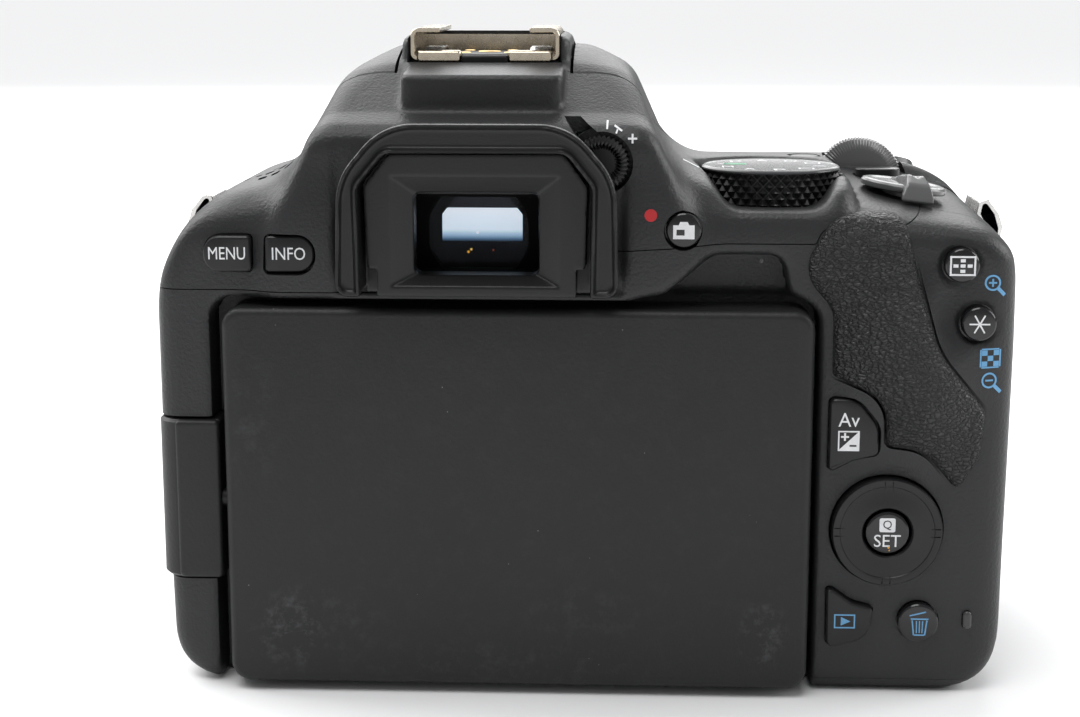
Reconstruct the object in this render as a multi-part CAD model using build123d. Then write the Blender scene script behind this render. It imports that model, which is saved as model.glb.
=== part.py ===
from build123d import *
import math
import os

# A digital single-lens reflex camera body with a swing-out display, modelled in millimetres.
# +Z is up and +Y points along the optical axis towards the subject, so the back faces -Y and the
# grip is at +X. The origin is the tripod socket's centre on the base, below the optical axis.

os.makedirs("parts", exist_ok=True)

# ---- driving dimensions ----------------------------------------------------------------------

BACK_Y = -25.5          # rear face of the body
LEFT_X = -46.2          # widest point on the display hinge side
RIGHT_X = 76.2          # widest point on the grip side
GRIP_FRONT_Y = 35.0     # front of the finger grip
LEFT_FRONT_Y = 14.0     # front face beside the lens mount
TOP_Z = 92.6            # top of the accessory shoe
WALL = 1.8              # thickness of every moulded cover
GAP = 0.1               # seam between two covers
FIT = 0.25              # clearance round a button or a flap
SPLIT_Y = -15.0         # front cover meets rear cover
BASE_T = 2.0            # base plate thickness
LEFT_SEAM_Z = 57.3      # top cover seam on the hinge side
RIGHT_SEAM_Z = 61.3     # top cover seam beside the display

AXIS_Z = 35.5           # optical axis above the base
FLANGE_Y = 32.0         # lens flange plane
FLANGE_TO_SENSOR = 44.0
SENSOR_Y = FLANGE_Y - FLANGE_TO_SENSOR
THROAT_R = 27.0         # lens throat
MOUNT_R = 32.5          # outside of the bayonet ring
BOSS_R = 34.3           # moulded boss round the bayonet ring
MOUNT_Y = FLANGE_Y - 1.5  # front of that boss

SCREEN_X = (-35.2, 46.2)
SCREEN_Z = (1.3, 55.2)
SCREEN_Y = (-27.5, -19.5)
HINGE_Z = (15.9, 38.8)
HINGE_AXIS = (-41.3, -21.0)  # vertical axis the display swings about, (x, y)
HINGE_R = 3.4
HINGE_ARM_X = -36.2
RECESS_X = (-37.3, 47.0)
RECESS_TOP_Z = 56.3
RECESS_Y = -18.9        # floor of the display recess

SHOE_Y = (-7.7, 10.3)   # accessory shoe, rear and front
SHOE_HALF_W = 10.7
SHOE_FLOOR_Z = 88.0
SHOE_INNER_HALF = 9.35
SHOE_OPEN_HALF = 6.4
SHOE_SHEET = 0.8

DIAL_XY = (41.0, -7.3)
DIAL_R = 9.6
DIAL_Z = (67.4, 73.3)
WHEEL_XZ = (55.6, 69.2)  # finger wheel axis
WHEEL_R = 6.3
WHEEL_Y = (8.6, 12.6)

SOCKET_R = 2.6          # minor radius of the 1/4-20 tripod thread
SOCKET_DEPTH = 5.5
JACK_R = 1.78           # 3.5 mm audio jack

MIRROR_PIVOT = (-6.5, AXIS_Z + 11.5)   # (y, z)
MIRROR_LENGTH = 25.0

# ---- helpers -----------------------------------------------------------------------------------


def box(x, y, z):
    """A block from three (low, high) pairs."""
    size = [b - a for a, b in (x, y, z)]
    centre = [(a + b) / 2 for a, b in (x, y, z)]
    return Pos(*centre) * Box(*size)


def outline(points, inset=0.0):
    """A closed face from (u, v, corner radius) points, moved inwards by inset."""
    path = FilletPolyline(
        *[(u, v) for u, v, _ in points], radius=[r for _, _, r in points], close=True
    )
    face = make_face(path)
    return offset(face, -inset) if inset else face


def along_y(face, y):
    """Extrudes an (x, z) face between two y values."""
    return extrude(Plane(origin=(0, y[1], 0), x_dir=(1, 0, 0), z_dir=(0, -1, 0)) * face, y[1] - y[0])


def along_z(face, z):
    """Extrudes an (x, y) face between two z values."""
    return extrude(Plane(origin=(0, 0, z[0])) * face, z[1] - z[0])


def along_x(face, x):
    """Extrudes a (y, z) face between two x values."""
    return extrude(Plane(origin=(x[0], 0, 0), x_dir=(0, 1, 0), z_dir=(1, 0, 0)) * face, x[1] - x[0])


def rod_y(x, z, r, y):
    return Pos(x, (y[0] + y[1]) / 2, z) * Rot(90, 0, 0) * Cylinder(r, y[1] - y[0])


def rod_z(x, y, r, z):
    return Pos(x, y, (z[0] + z[1]) / 2) * Cylinder(r, z[1] - z[0])


def rod_x(y, z, r, x):
    return Pos((x[0] + x[1]) / 2, y, z) * Rot(0, 90, 0) * Cylinder(r, x[1] - x[0])


def union(shapes):
    total = shapes[0]
    for shape in shapes[1:]:
        total = total + shape
    return total


def soften(shape, edges, sizes):
    """Fillets the edges with the largest radius of sizes that the solid allows."""
    for size in sizes:
        try:
            done = fillet(edges, size)
            if done.is_valid and done.volume > 0:
                return done
        except Exception:
            continue
    return shape


def save(name, shape):
    """Writes one sub-part, as its largest solids, to its own STEP file."""
    solids = [s for s in shape.solids() if s.volume > 0.02]
    whole = solids[0] if len(solids) == 1 else Compound(solids)
    whole.label = name
    export_step(whole, f"parts/{name}.step")


# ---- outer form --------------------------------------------------------------------------------

REAR_VIEW = [  # (x, z, corner radius) of the body without the viewfinder housing
    (-44.6, 0, 7.0), (-44.6, 14, 20), (LEFT_X, 38, 30), (LEFT_X, 56, 14), (-38, 69.3, 20),
    (-24, 74.2, 10), (28, 73.8, 10), (60.5, 72.4, 8), (70.2, 68.0, 6), (75.8, 60.5, 8),
    (RIGHT_X, 50, 20), (75.0, 22, 20), (75.0, 0, 7.0),
]
PLAN_VIEW = [  # (x, y, corner radius) of the body without the mount boss
    (-45.4, BACK_Y, 4.0), (LEFT_X, -12, 10), (-43.6, LEFT_FRONT_Y, 7.0), (40.5, LEFT_FRONT_Y, 4.0),
    (47.5, 17.0, 5.0), (52.5, GRIP_FRONT_Y, 9.0), (72.6, GRIP_FRONT_Y, 9.5), (RIGHT_X, 4, 25),
    (73.8, BACK_Y, 5.0),
]
SIDE_VIEW = [  # (y, z, corner radius) of the body without the mount boss
    (BACK_Y, -1, 0), (BACK_Y, 68.2, 3), (-19.5, 75.5, 3), (13.0, 75.5, 12),
    (GRIP_FRONT_Y, 66.5, 7), (GRIP_FRONT_Y, -1, 0),
]
HOUSING_REAR = [  # (x, z, corner radius) of the viewfinder housing
    (-27.5, 56, 0), (-25.2, 74.0, 6), (-20.2, 87.4, 7), (-12.0, 91.6, 6),
    (12.0, 91.6, 6), (20.2, 87.4, 7), (26.5, 74.0, 6), (29.5, 56, 0),
]
HOUSING_SIDE = [  # (y, z, corner radius)
    (BACK_Y, 50, 0), (BACK_Y, 79.5, 4), (-20.0, 82.2, 4), (-8.0, 89.4, 5), (13.0, 89.9, 6),
    (24.5, 86.0, 6), (31.0, 72.0, 3), (29.0, 68.4, 2), (29.0, 50, 0),
]
SHELF = [(-10.7, -19.3, 2), (10.7, -19.3, 2), (10.7, 10.0, 0), (-10.7, 10.0, 0)]
CHEEKS = [(-12.3, -8.4, 1.5), (12.3, -8.4, 1.5), (12.3, 10.9, 1.5), (-12.3, 10.9, 1.5)]


def body_form(inset):
    """The closed outer form, or the space inside walls of that thickness."""
    block = along_y(outline(REAR_VIEW, inset), (BACK_Y - 5, GRIP_FRONT_Y + 5))
    block &= along_z(outline(PLAN_VIEW, inset), (inset, 80))
    block &= along_x(outline(SIDE_VIEW, inset), (-60, 90))
    boss = rod_y(0, AXIS_Z, BOSS_R - inset, (LEFT_FRONT_Y - 8, MOUNT_Y - inset))
    return block + housing_form(inset) + pedestal_form(inset) + boss


def pedestal_form(inset):
    """The block under the accessory shoe: a shelf behind it and a cheek on each side."""
    shelf = along_z(outline(SHELF, inset), (70, 87.6 - inset))
    return shelf + along_z(outline(CHEEKS, inset), (70, 91.2 - inset))


def housing_form(inset):
    """The viewfinder housing on its own."""
    housing = along_y(outline(HOUSING_REAR, inset), (BACK_Y - 5, GRIP_FRONT_Y))
    return housing & along_x(outline(HOUSING_SIDE, inset), (-40, 40))


def above_seam(lift):
    """Everything over the top cover's lower seam, moved up by lift."""
    seam = [
        (-60, LEFT_SEAM_Z, 0), (22, LEFT_SEAM_Z, 3), (29, RIGHT_SEAM_Z, 3), (46, RIGHT_SEAM_Z, 0),
        (47, 66.0, 2), (52, 68.9, 1), (58.5, 66.8, 1), (64, 69.4, 3), (70, 68.4, 4), (90, 56, 0),
        (90, 110, 0), (-60, 110, 0),
    ]
    return along_y(outline([(x, z + lift if z < 100 else z, r) for x, z, r in seam]), (-60, 60))


NOTCH = [  # finger notch over the display's upper right corner
    (22.0, 50, 0), (24.5, 55.6, 3), (33.0, 62.4, 4), (43.4, 62.4, 3), (44.6, 50, 0),
]
DOOR_X = (51.8, 69.2)       # battery door in the base
DOOR_Y = (-9.5, 29.5)
FLAP_Z = (9.0, 47.0)        # connector flaps in the left side
FLAP_REAR_Y = (-13.6, -4.6)
FLAP_FRONT_Y = (-4.2, 4.8)
FLASH_PIVOT = (-7.0, 84.0)  # (y, z)
FLASH_END_R = 6.2
PEDESTAL_HALF = 12.5        # the shoe's pedestal between the flash arms
PEDESTAL_R = 19.6           # its front end, round the flash pivot


def pockets(grow):
    """Hollows sunk into the covers from outside, with their walls grown by grow."""
    x0, x1 = RECESS_X
    corners = [(x0, -5, 0), (x0, RECESS_TOP_Z, 3.5), (x1, RECESS_TOP_Z, 3.5), (x1, -5, 0)]
    screen = outline(corners, -grow)
    bay_z = (HINGE_Z[0] - 0.4 - grow, HINGE_Z[1] + 0.4 + grow)
    hinge_bay = box((-60, x0 + 0.1), (-40, HINGE_AXIS[1] + HINGE_R + 0.4 + grow), bay_z)
    dial_well = rod_z(*DIAL_XY, DIAL_R + 0.8 + grow, (DIAL_Z[0] - 0.6 - grow, 90))
    half = 6.5 + grow
    dial_well += box((DIAL_XY[0] - half, DIAL_XY[0] + half), (-40, DIAL_XY[1]), (DIAL_Z[0] + 0.6 - grow, 90))
    wheel_well = rod_y(*WHEEL_XZ, WHEEL_R + 0.5 + grow, (WHEEL_Y[0] - 0.4 - grow, WHEEL_Y[1] + 0.4 + grow))
    lever_basin = rod_z(0, 0, 7.0 + grow, (-0.4 - grow, 10))
    lever_basin += box((-4.2 - grow, 6.3 + grow), (-30, 0), (-0.1 - grow, 10))
    return union([
        along_y(screen, (-40, RECESS_Y + grow)),
        along_y(outline(NOTCH, -grow), (-40, -20.6 + grow)),
        hinge_bay,
        dial_well,
        wheel_well,
        at_lever(lever_basin),
    ])


def column_rounding():
    """Rounds the body's inner column edges, which the display turns past."""
    x, y, r = RECESS_X[0], BACK_Y, 2.0
    corner = box((x - r, x + 1), (y - 1, y + r), (-5, RECESS_TOP_Z - 2.0))
    return corner - rod_z(x - r, y + r, r, (-10, 80)) - box((x - r - 1, x - r), (y - 2, 0), (-10, 80))


def flash_zone(grow):
    """The part of the viewfinder housing that lifts: two arms beside the shoe joined at the front."""
    py, pz = FLASH_PIVOT
    arc_end = rod_x(py, pz, FLASH_END_R + grow, (-40, 40))
    rim = [(py, pz - FLASH_END_R - grow, 0), (14.6 - grow, 75.4 - grow, 0), (14.6 - grow, 69.4 - grow, 0)]
    above = outline([*rim, (40, 69.4 - grow, 0), (40, 110, 0), (py, 110, 0)])
    zone = arc_end + along_x(above, (-40, 40))
    half = PEDESTAL_HALF - grow
    pedestal = box((-half, half), (-40, py), (60, 120)) + rod_x(py, pz, PEDESTAL_R - grow, (-half, half))
    return zone - pedestal


def screw_points():
    """Case screws in the base: (x, y)."""
    return [(-36, -12), (-36, 6), (-29, 11), (30, 11), (42, -12.5), (42, 6), (66, -18)]


def covers():
    """The four moulded covers and the flash lid, all cut from one shell."""
    outer = body_form(0.0) - pockets(0.0)
    cavity = body_form(WALL) - pockets(WALL)
    lid_zone = flash_zone(0.0)
    well = flash_zone(0.2)
    outer -= column_rounding()
    shell = outer - cavity
    mount_hole = rod_y(0, AXIS_Z, MOUNT_R - 3.0, (0, 60))
    shell -= mount_hole + rod_y(0, AXIS_Z, MOUNT_R + 0.2, (MOUNT_Y, 60))
    liner = (outer & flash_zone(1.4)) - well
    base_zone = box((-60, 90), (-60, 60), (-10, BASE_T))
    top_zone = above_seam(GAP)
    below = box((-60, 90), (-60, 60), (BASE_T + GAP, 120)) - above_seam(0)
    rear_half = box((-60, 90), (-60, SPLIT_Y), (-10, 120))
    front_half = box((-60, 90), (SPLIT_Y + GAP, 60), (-10, 120))
    return {
        "top": ((shell & top_zone) - well) + liner,
        "rear": shell & below & rear_half,
        "front": shell & below & front_half,
        "base": outer & base_zone,
        "lid": (housing_form(0.0) - housing_form(2.4)) & lid_zone,
    }


# ---- buttons -----------------------------------------------------------------------------------

CAP_PROUD = 0.5
FLANGE_T = 0.8
BUTTON_GAP = 0.2


def disc(x, z, r):
    return Pos(x, z) * Circle(r)


MENU_FACE = [(-37.7, 64.9, 2.3), (-31.1, 64.9, 0.6), (-31.1, 59.9, 0.6), (-37.7, 59.9, 2.3)]
INFO_FACE = [(-29.1, 64.9, 0.6), (-22.3, 64.9, 2.3), (-22.3, 59.9, 2.3), (-29.1, 59.9, 0.6)]
EXPOSURE_FACE = [
    (48.6, 42.9, 0.9), (51.2, 42.6, 1.5), (55.3, 39.2, 1.5), (55.3, 34.9, 0.8), (52.0, 34.1, 2),
    (49.2, 32.6, 0.5), (48.6, 33.0, 0.3),
]
PLAYBACK_FACE = [
    (48.9, 15.6, 0.4), (49.9, 15.4, 0.4), (52.4, 13.6, 2), (55.5, 12.8, 0.7), (54.7, 8.4, 3),
    (49.0, 6.8, 1.0),
]
REAR_BUTTONS = {  # name: face in the (x, z) plane
    "menu_button": lambda: outline(MENU_FACE),
    "info_button": lambda: outline(INFO_FACE),
    "live_view_button": lambda: disc(28.2, 66.0, 2.4),
    "af_point_button": lambda: disc(65.9, 61.4, 2.3),
    "ae_lock_button": lambda: disc(68.5, 53.4, 2.3),
    "exposure_button": lambda: outline(EXPOSURE_FACE),
    "playback_button": lambda: outline(PLAYBACK_FACE),
    "erase_button": lambda: disc(61.8, 10.8, 2.8),
}
RING_XZ = (57.0, 24.0)
RING_R = 7.7
SET_R = 3.1


INNER_Y = BACK_Y + WALL + BUTTON_GAP
BUTTON_ROOM_Y = -21.4   # how far in the rear buttons' flanges may go


def rear_button(face):
    """A cap through the rear wall with a retaining flange behind it, free to travel inwards."""
    cap = along_y(face, (BACK_Y - CAP_PROUD, INNER_Y))
    return cap + along_y(offset(face, 0.7), (INNER_Y, INNER_Y + FLANGE_T))


def rear_button_hole(face):
    """The room for such a button: its cap's hole and the wider space behind the wall."""
    hole = along_y(offset(face, FIT), (-40, BUTTON_ROOM_Y))
    return hole + along_y(offset(face, 0.7 + FIT), (BACK_Y + WALL, BUTTON_ROOM_Y))


TOP_BUTTONS = {  # name: (x, y, deck z, half length along x, half width, height over the deck)
    "iso_button": (57.9, 3.6, 72.5, 3.3, 1.9, 0.5),
    "display_button": (47.0, 6.4, 73.0, 2.1, 2.1, 0.3),
}
LEVER_AT = (60.0, -7.0, 69.7)
LEVER_TILT = 8.0        # degrees, lower at the grip side
SHUTTER_AT = (60.5, 23.5, 71.2)
SHUTTER_TILT = 20.0     # degrees, lower at the front
SHUTTER_R = 5.2


CAP_DEPTH = WALL + BUTTON_GAP + 0.9


def top_face(half_length, half_width, grow=0.0):
    """The rounded face of a deck button."""
    if half_length == half_width:
        return Circle(half_width + grow)
    return SlotOverall(2 * (half_length + grow), 2 * (half_width + grow))


def top_button(half_length, half_width, proud):
    """A cap through the deck with its retaining flange, the deck being at z = 0."""
    cap = along_z(top_face(half_length, half_width), (-CAP_DEPTH, proud))
    return cap + along_z(top_face(half_length, half_width, 0.7), (-CAP_DEPTH - FLANGE_T, -CAP_DEPTH))


def top_hole(half_length, half_width):
    """The room for such a cap and its flange, cut out of the deck."""
    hole = along_z(top_face(half_length, half_width, FIT), (-CAP_DEPTH - 3, 6))
    return hole + along_z(top_face(half_length, half_width, 0.7 + FIT), (-CAP_DEPTH - 4, 0.15 - CAP_DEPTH))


def at_lever(shape):
    return Pos(*LEVER_AT) * Rot(0, LEVER_TILT, 0) * shape


def at_shutter(shape):
    return Pos(*SHUTTER_AT) * Rot(-SHUTTER_TILT, 0, 0) * shape


# ---- sub-parts ---------------------------------------------------------------------------------


def make_covers():
    made = covers()
    top, rear, front, base = made["top"], made["rear"], made["front"], made["base"]

    for face in REAR_BUTTONS.values():
        hole = rear_button_hole(face())
        rear -= hole
        top -= hole
    rear -= rod_y(*RING_XZ, RING_R + 0.4, (-40, -15.5))
    rear -= rod_y(68.75, 11.4, 0.8, (-40, -15.5))
    for x, y, z, length, width, _ in TOP_BUTTONS.values():
        top -= Pos(x, y, z) * top_hole(length, width)
    top -= at_lever(rod_z(0, 0, 3.05, (-8, 8)))
    front -= at_lever(rod_z(0, 0, 3.05, (-8, 8)))
    top -= at_shutter(top_hole(SHUTTER_R, SHUTTER_R))
    front -= at_shutter(top_hole(SHUTTER_R, SHUTTER_R))
    top -= rod_z(*DIAL_XY, 2.05, (60, 70))
    top -= rod_y(*WHEEL_XZ, 1.05, (WHEEL_Y[0] - 2.4, WHEEL_Y[1] + 2.4))
    # Eyepiece window, and the raised frame on which the eyecup slides.
    top += box((-12.5, 12.5), (BACK_Y - 2.0, BACK_Y + 0.1), (59.2, 74.6))
    top -= box((-9.0, 9.0), (-40, -20), (60.0, 70.6))
    top -= rod_y(*DIOPTER_XZ, DIOPTER_R + 0.4, (-40, -21.0))
    top -= rod_y(*DIOPTER_XZ, 5.2, (BACK_Y + WALL, -21.0))

    # Lens release button and lock pin holes in the mount boss.
    release = rod_y(*RELEASE_XZ, RELEASE_R + FIT, (0, 40))
    release += rod_y(*RELEASE_XZ, RELEASE_R + 0.7 + FIT, (0, LEFT_FRONT_Y - WALL))
    front -= release - rod_y(0, AXIS_Z, BOSS_R, (0, 60))
    front -= rod_y(*LOCK_PIN_XZ, 1.6, (0, 60))
    for x, z in mount_screw_points():
        front -= rod_y(x, z, 0.8, (0, 60))
        top -= rod_y(x, z, 0.8, (0, 60))
    for lug in lug_plates():
        front -= lug
        top -= lug
    # Connector bay behind the two flaps on the left side.
    bay_y = (FLAP_REAR_Y[0] - FIT, FLAP_FRONT_Y[1] + FIT)
    bay = box((-60, -42.0), bay_y, (FLAP_Z[0] - FIT, FLAP_Z[1] + FIT))
    front -= bay
    # Battery opening and tripod socket in the base.
    base -= box((DOOR_X[0] - FIT, DOOR_X[1] + FIT), (DOOR_Y[0] - FIT, DOOR_Y[1] + FIT), (-5, 5))
    base -= rod_z(0, 0, 6.0, (-5, 5))
    for x, y in screw_points():
        base -= rod_z(x, y, 1.9, (-5, 1.0)) + rod_z(x, y, 0.9, (-5, 5))
    # Seat of the accessory shoe, cut into the pedestal.
    top += box((-10.6, 10.6), (-12.0, 11.0), (SHOE_FLOOR_Z - 2.6, SHOE_FLOOR_Z - 1.0))
    top -= box((-SHOE_HALF_W, SHOE_HALF_W), SHOE_Y, (SHOE_FLOOR_Z - 1.0, 95))
    save("top_cover", largest(top))
    save("rear_cover", largest(rear))
    save("front_cover", largest(front))
    save("bottom_cover", largest(base))
    make_flash(made["lid"])


def largest(shape):
    """Only the biggest solid, without the crumbs that a cut may leave."""
    return max(shape.solids(), key=lambda s: s.volume)


DIOPTER_XZ = (17.0, 75.0)
DIOPTER_R = 3.9
RELEASE_XZ = (-37.0, 29.0)
RELEASE_R = 4.2
LOCK_PIN_XZ = (-29.6, AXIS_Z)


def make_flash(lid):
    """Lifting flash: the lid with its two arms and lamp block, and the lamp's window in front."""
    lamp = box((-13, 13), (18.0, 26.5), (75.0, 83.0)) + box((-22, 22), (17.0, 19.0), (74.0, 84.0))
    lamp &= housing_form(1.0)
    window = box((-11.5, 11.5), (26.5, 40), (76.2, 82.4)) & housing_form(0.3)
    lid = (lid + lamp) - box((-11.5, 11.5), (26.5, 40), (76.2, 82.4))
    save("flash_lid", largest(lid))
    save("flash_window", largest(window))


def mount_screw_points():
    """Centres of the bayonet ring's screws: (x, z)."""
    angles = [math.radians(45 + 90 * k) for k in range(4)]
    return [(30.6 * math.cos(a), AXIS_Z + 30.6 * math.sin(a)) for a in angles]


def make_lens_mount():
    ring = rod_y(0, AXIS_Z, MOUNT_R, (MOUNT_Y, FLANGE_Y))
    ring += rod_y(0, AXIS_Z, 29.3, (FLANGE_Y - 11.0, MOUNT_Y))
    ring -= rod_y(0, AXIS_Z, THROAT_R, (0, 60))
    ring -= rod_y(0, AXIS_Z, 28.4, (FLANGE_Y - 5.6, FLANGE_Y - 1.6))
    for k in range(3):
        slot = box((-13.5, 13.5), (FLANGE_Y - 3, FLANGE_Y + 1), (20, 29))
        slot = Pos(0, 0, AXIS_Z) * Rot(0, 120 * k + 30, 0) * slot
        ring -= slot & rod_y(0, AXIS_Z, 28.4, (0, 60))
    screws = []
    for x, z in mount_screw_points():
        seat = rod_y(x, z, 1.4, (FLANGE_Y - 0.9, FLANGE_Y + 1))
        ring -= seat + rod_y(x, z, 0.8, (0, 60))
        head = rod_y(x, z, 1.4, (FLANGE_Y - 0.9, FLANGE_Y - 0.1))
        slot = box((x - 1.0, x + 1.0), (FLANGE_Y - 0.4, FLANGE_Y), (z - 0.2, z + 0.2))
        cross = box((x - 0.2, x + 0.2), (FLANGE_Y - 0.4, FLANGE_Y), (z - 1.0, z + 1.0))
        screws.append(head + rod_y(x, z, 0.8, (FLANGE_Y - 6.0, FLANGE_Y - 0.9)) - slot - cross)
    ring -= rod_y(*LOCK_PIN_XZ, 1.35, (0, 60))
    save("lens_mount_ring", largest(ring))
    save("mount_screws", Compound([s.solids()[0] for s in screws]))

    arm = box((-9.5, 9.5), (FLANGE_Y - 14.0, FLANGE_Y - 12.0), (AXIS_Z - 26.0, AXIS_Z - 18.2))
    block = arm
    for k in range(8):
        block += rod_y(-8.0 + 16.0 / 7 * k, AXIS_Z - 22.6, 0.65, (FLANGE_Y - 12.0, FLANGE_Y - 11.2))
    save("lens_contacts", block)

    button = rod_y(*RELEASE_XZ, RELEASE_R, (LEFT_FRONT_Y - 3.0, LEFT_FRONT_Y + 3.2))
    button += rod_y(*RELEASE_XZ, RELEASE_R + 0.7, (LEFT_FRONT_Y - 3.9, LEFT_FRONT_Y - 3.0))
    save("lens_release_button", button - front_clear())
    save("lens_lock_pin", rod_y(*LOCK_PIN_XZ, 1.25, (FLANGE_Y - 9.5, FLANGE_Y + 1.2)))


def front_clear():
    return rod_y(0, AXIS_Z, BOSS_R + 0.3, (LEFT_FRONT_Y - 5, 60))


MIRROR_BOX_HALF = 20.5


def make_mirror_box():
    """A box open to the lens in front, the shutter behind and the focusing screen above."""
    floor_z, roof_z = AXIS_Z - 18.0, AXIS_Z + 14.0
    frame = box((-MIRROR_BOX_HALF, MIRROR_BOX_HALF), (-8.5, 17.6), (floor_z - 1.6, roof_z + 1.2))
    frame -= box((-MIRROR_BOX_HALF + 1.6, MIRROR_BOX_HALF - 1.6), (-7.4, 30), (floor_z, roof_z))
    frame -= box((-12.5, 12.5), (-20, 0), (AXIS_Z - 9, AXIS_Z + 8.6))
    frame -= box((-14.2, 14.2), (-5.2, 15.2), (roof_z - 1, 80))
    save("mirror_box", frame)

    py, pz = MIRROR_PIVOT
    away = math.sqrt(0.5)
    slab = Pos(0, py, pz) * Rot(-45, 0, 0) * box((-13.0, 13.0), (0.6, MIRROR_LENGTH), (-0.9, 0.9))
    hinge_pin = rod_x(py, pz, 0.9, (-MIRROR_BOX_HALF + 1.8, MIRROR_BOX_HALF - 1.8))
    mid = MIRROR_LENGTH * 0.56
    my, mz = py + mid * away - 1.6 * away, pz - mid * away - 1.6 * away
    save("main_mirror", slab + hinge_pin)
    flap = Pos(0, my, mz) * Rot(-135, 0, 0) * box((-7.0, 7.0), (0.5, 9.5), (-0.35, 0.35))
    flap += rod_x(my, mz, 0.6, (-7.6, 7.6))
    save("sub_mirror", flap)

    save("focusing_screen", box((-14.0, 14.0), (-5.0, 15.0), (roof_z, roof_z + 1.4)))
    base_z = roof_z + 2.0
    prism = [(-6.0, base_z, 0), (15.5, base_z, 0), (12.0, 64.0, 0), (3.0, 71.6, 0), (-8.0, 70.2, 0)]
    prism += [(-9.5, 60.0, 0)]
    roof = [(-15.5, roof_z, 0), (15.5, roof_z, 0), (14.5, 61.0, 0), (0, 75.0, 0), (-14.5, 61.0, 0)]
    save("pentamirror", along_x(outline(prism), (-20, 20)) & along_y(outline(roof), (-20, 30)))
    lens = box((-8.2, 8.2), (-20.6, -17.0), (59.8, 70.4))
    save("eyepiece_lens", soften(lens, lens.edges().filter_by(Axis.Y), [2.5]))

    shutter = box((-16.5, 16.5), (-11.0, -8.6), (AXIS_Z - 13.0, AXIS_Z + 13.5))
    shutter -= box((-11.8, 11.8), (-12.0, -9.6), (AXIS_Z - 8.0, AXIS_Z + 8.0))
    for k in range(4):
        z = AXIS_Z - 8.0 + 4.0 * k
        shutter += box((-11.8, 11.8), (-10.0 + 0.15 * (k % 2), -9.6 + 0.15 * (k % 2)), (z, z + 4.0))
    save("shutter_unit", shutter)
    sensor = box((-15.0, 15.0), (SENSOR_Y - 2.2, SENSOR_Y - 0.9), (AXIS_Z - 11.5, AXIS_Z + 11.5))
    sensor += box((-11.5, 11.5), (SENSOR_Y - 0.9, SENSOR_Y), (AXIS_Z - 7.8, AXIS_Z + 7.8))
    save("image_sensor", sensor)


def make_inside():
    frame = box((-24.0, 24.0), (-8.0, 12.0), (BASE_T, BASE_T + 1.6))
    for side in (-1, 1):
        x = sorted((side * 24.0, side * 22.4))
        frame += box(x, (-8.0, 12.0), (BASE_T, 46.0))
    frame -= rod_z(0, 0, 6.0, (0, 10))
    save("chassis_frame", frame)
    x, y, z = BATTERY
    case = box((x[0] - 4.3, x[1] + 1.1), (y[0] - 1.1, y[1] + 1.1), (z[0] + 0.3, z[1] + 1.5))
    case -= box((x[0] - 0.3, x[1] + 0.3), (y[0] - 0.3, y[1] + 0.3), (0, z[1] + 0.3))
    case -= box((CARD_X[0] - 0.2, CARD_X[1] + 0.2), (CARD_Y[0] - 0.2, CARD_Y[1] + 0.2), (0, CARD_Z[1] + 0.3))
    save("battery_case", largest(case & body_form(WALL)))

    socket = rod_z(0, 0, 5.9, (0, SOCKET_DEPTH + 1.2))
    save("tripod_socket", socket - rod_z(0, 0, SOCKET_R, (0, SOCKET_DEPTH)))

    board = box((-32.0, 44.0), (-15.7, -14.7), (6.0, 53.0))
    for x, z, w, h in [(-18, 30, 14, 14), (8, 34, 10, 12), (28, 22, 8, 8), (-24, 12, 9, 6)]:
        board += box((x, x + w), (-16.7, -15.7), (z, z + h))
    save("main_board", board)

    pack = box(*BATTERY)
    save("battery", soften(pack, pack.edges().filter_by(Axis.Z), [1.6]))
    save("memory_card", box(CARD_X, CARD_Y, CARD_Z))


BATTERY = ((55.2, 68.4), (-5.5, 27.0), (2.9, 51.9))
CARD_X = (52.2, 54.3)
CARD_Y = (-5.0, 19.0)
CARD_Z = (3.2, 35.2)


def make_base_parts():
    door = box(DOOR_X, DOOR_Y, (0.25, BASE_T))
    door = soften(door, door.edges().filter_by(Axis.Z), [1.5])
    door += box((DOOR_X[0] + 4, DOOR_X[1] - 4), (DOOR_Y[0] + 4.6, DOOR_Y[1] - 3), (BASE_T, BASE_T + 0.6))
    door -= box((DOOR_X[0] + 2.2, DOOR_X[0] + 7.0), (4.0, 16.0), (-1, 1.3))
    latch = box((DOOR_X[0] + 2.5, DOOR_X[0] + 4.9), (4.3, 15.7), (0.35, 1.0))
    save("battery_door", door)
    save("battery_door_latch", latch)
    screws = []
    for x, y in screw_points():
        head = rod_z(x, y, 1.8, (0.2, 1.0)) + rod_z(x, y, 0.85, (1.0, 4.5))
        head -= box((x - 1.1, x + 1.1), (y - 0.22, y + 0.22), (0, 0.6))
        head -= box((x - 0.22, x + 0.22), (y - 1.1, y + 1.1), (0, 0.6))
        screws.append(head.solids()[0])
    save("case_screws", Compound(screws))


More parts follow.
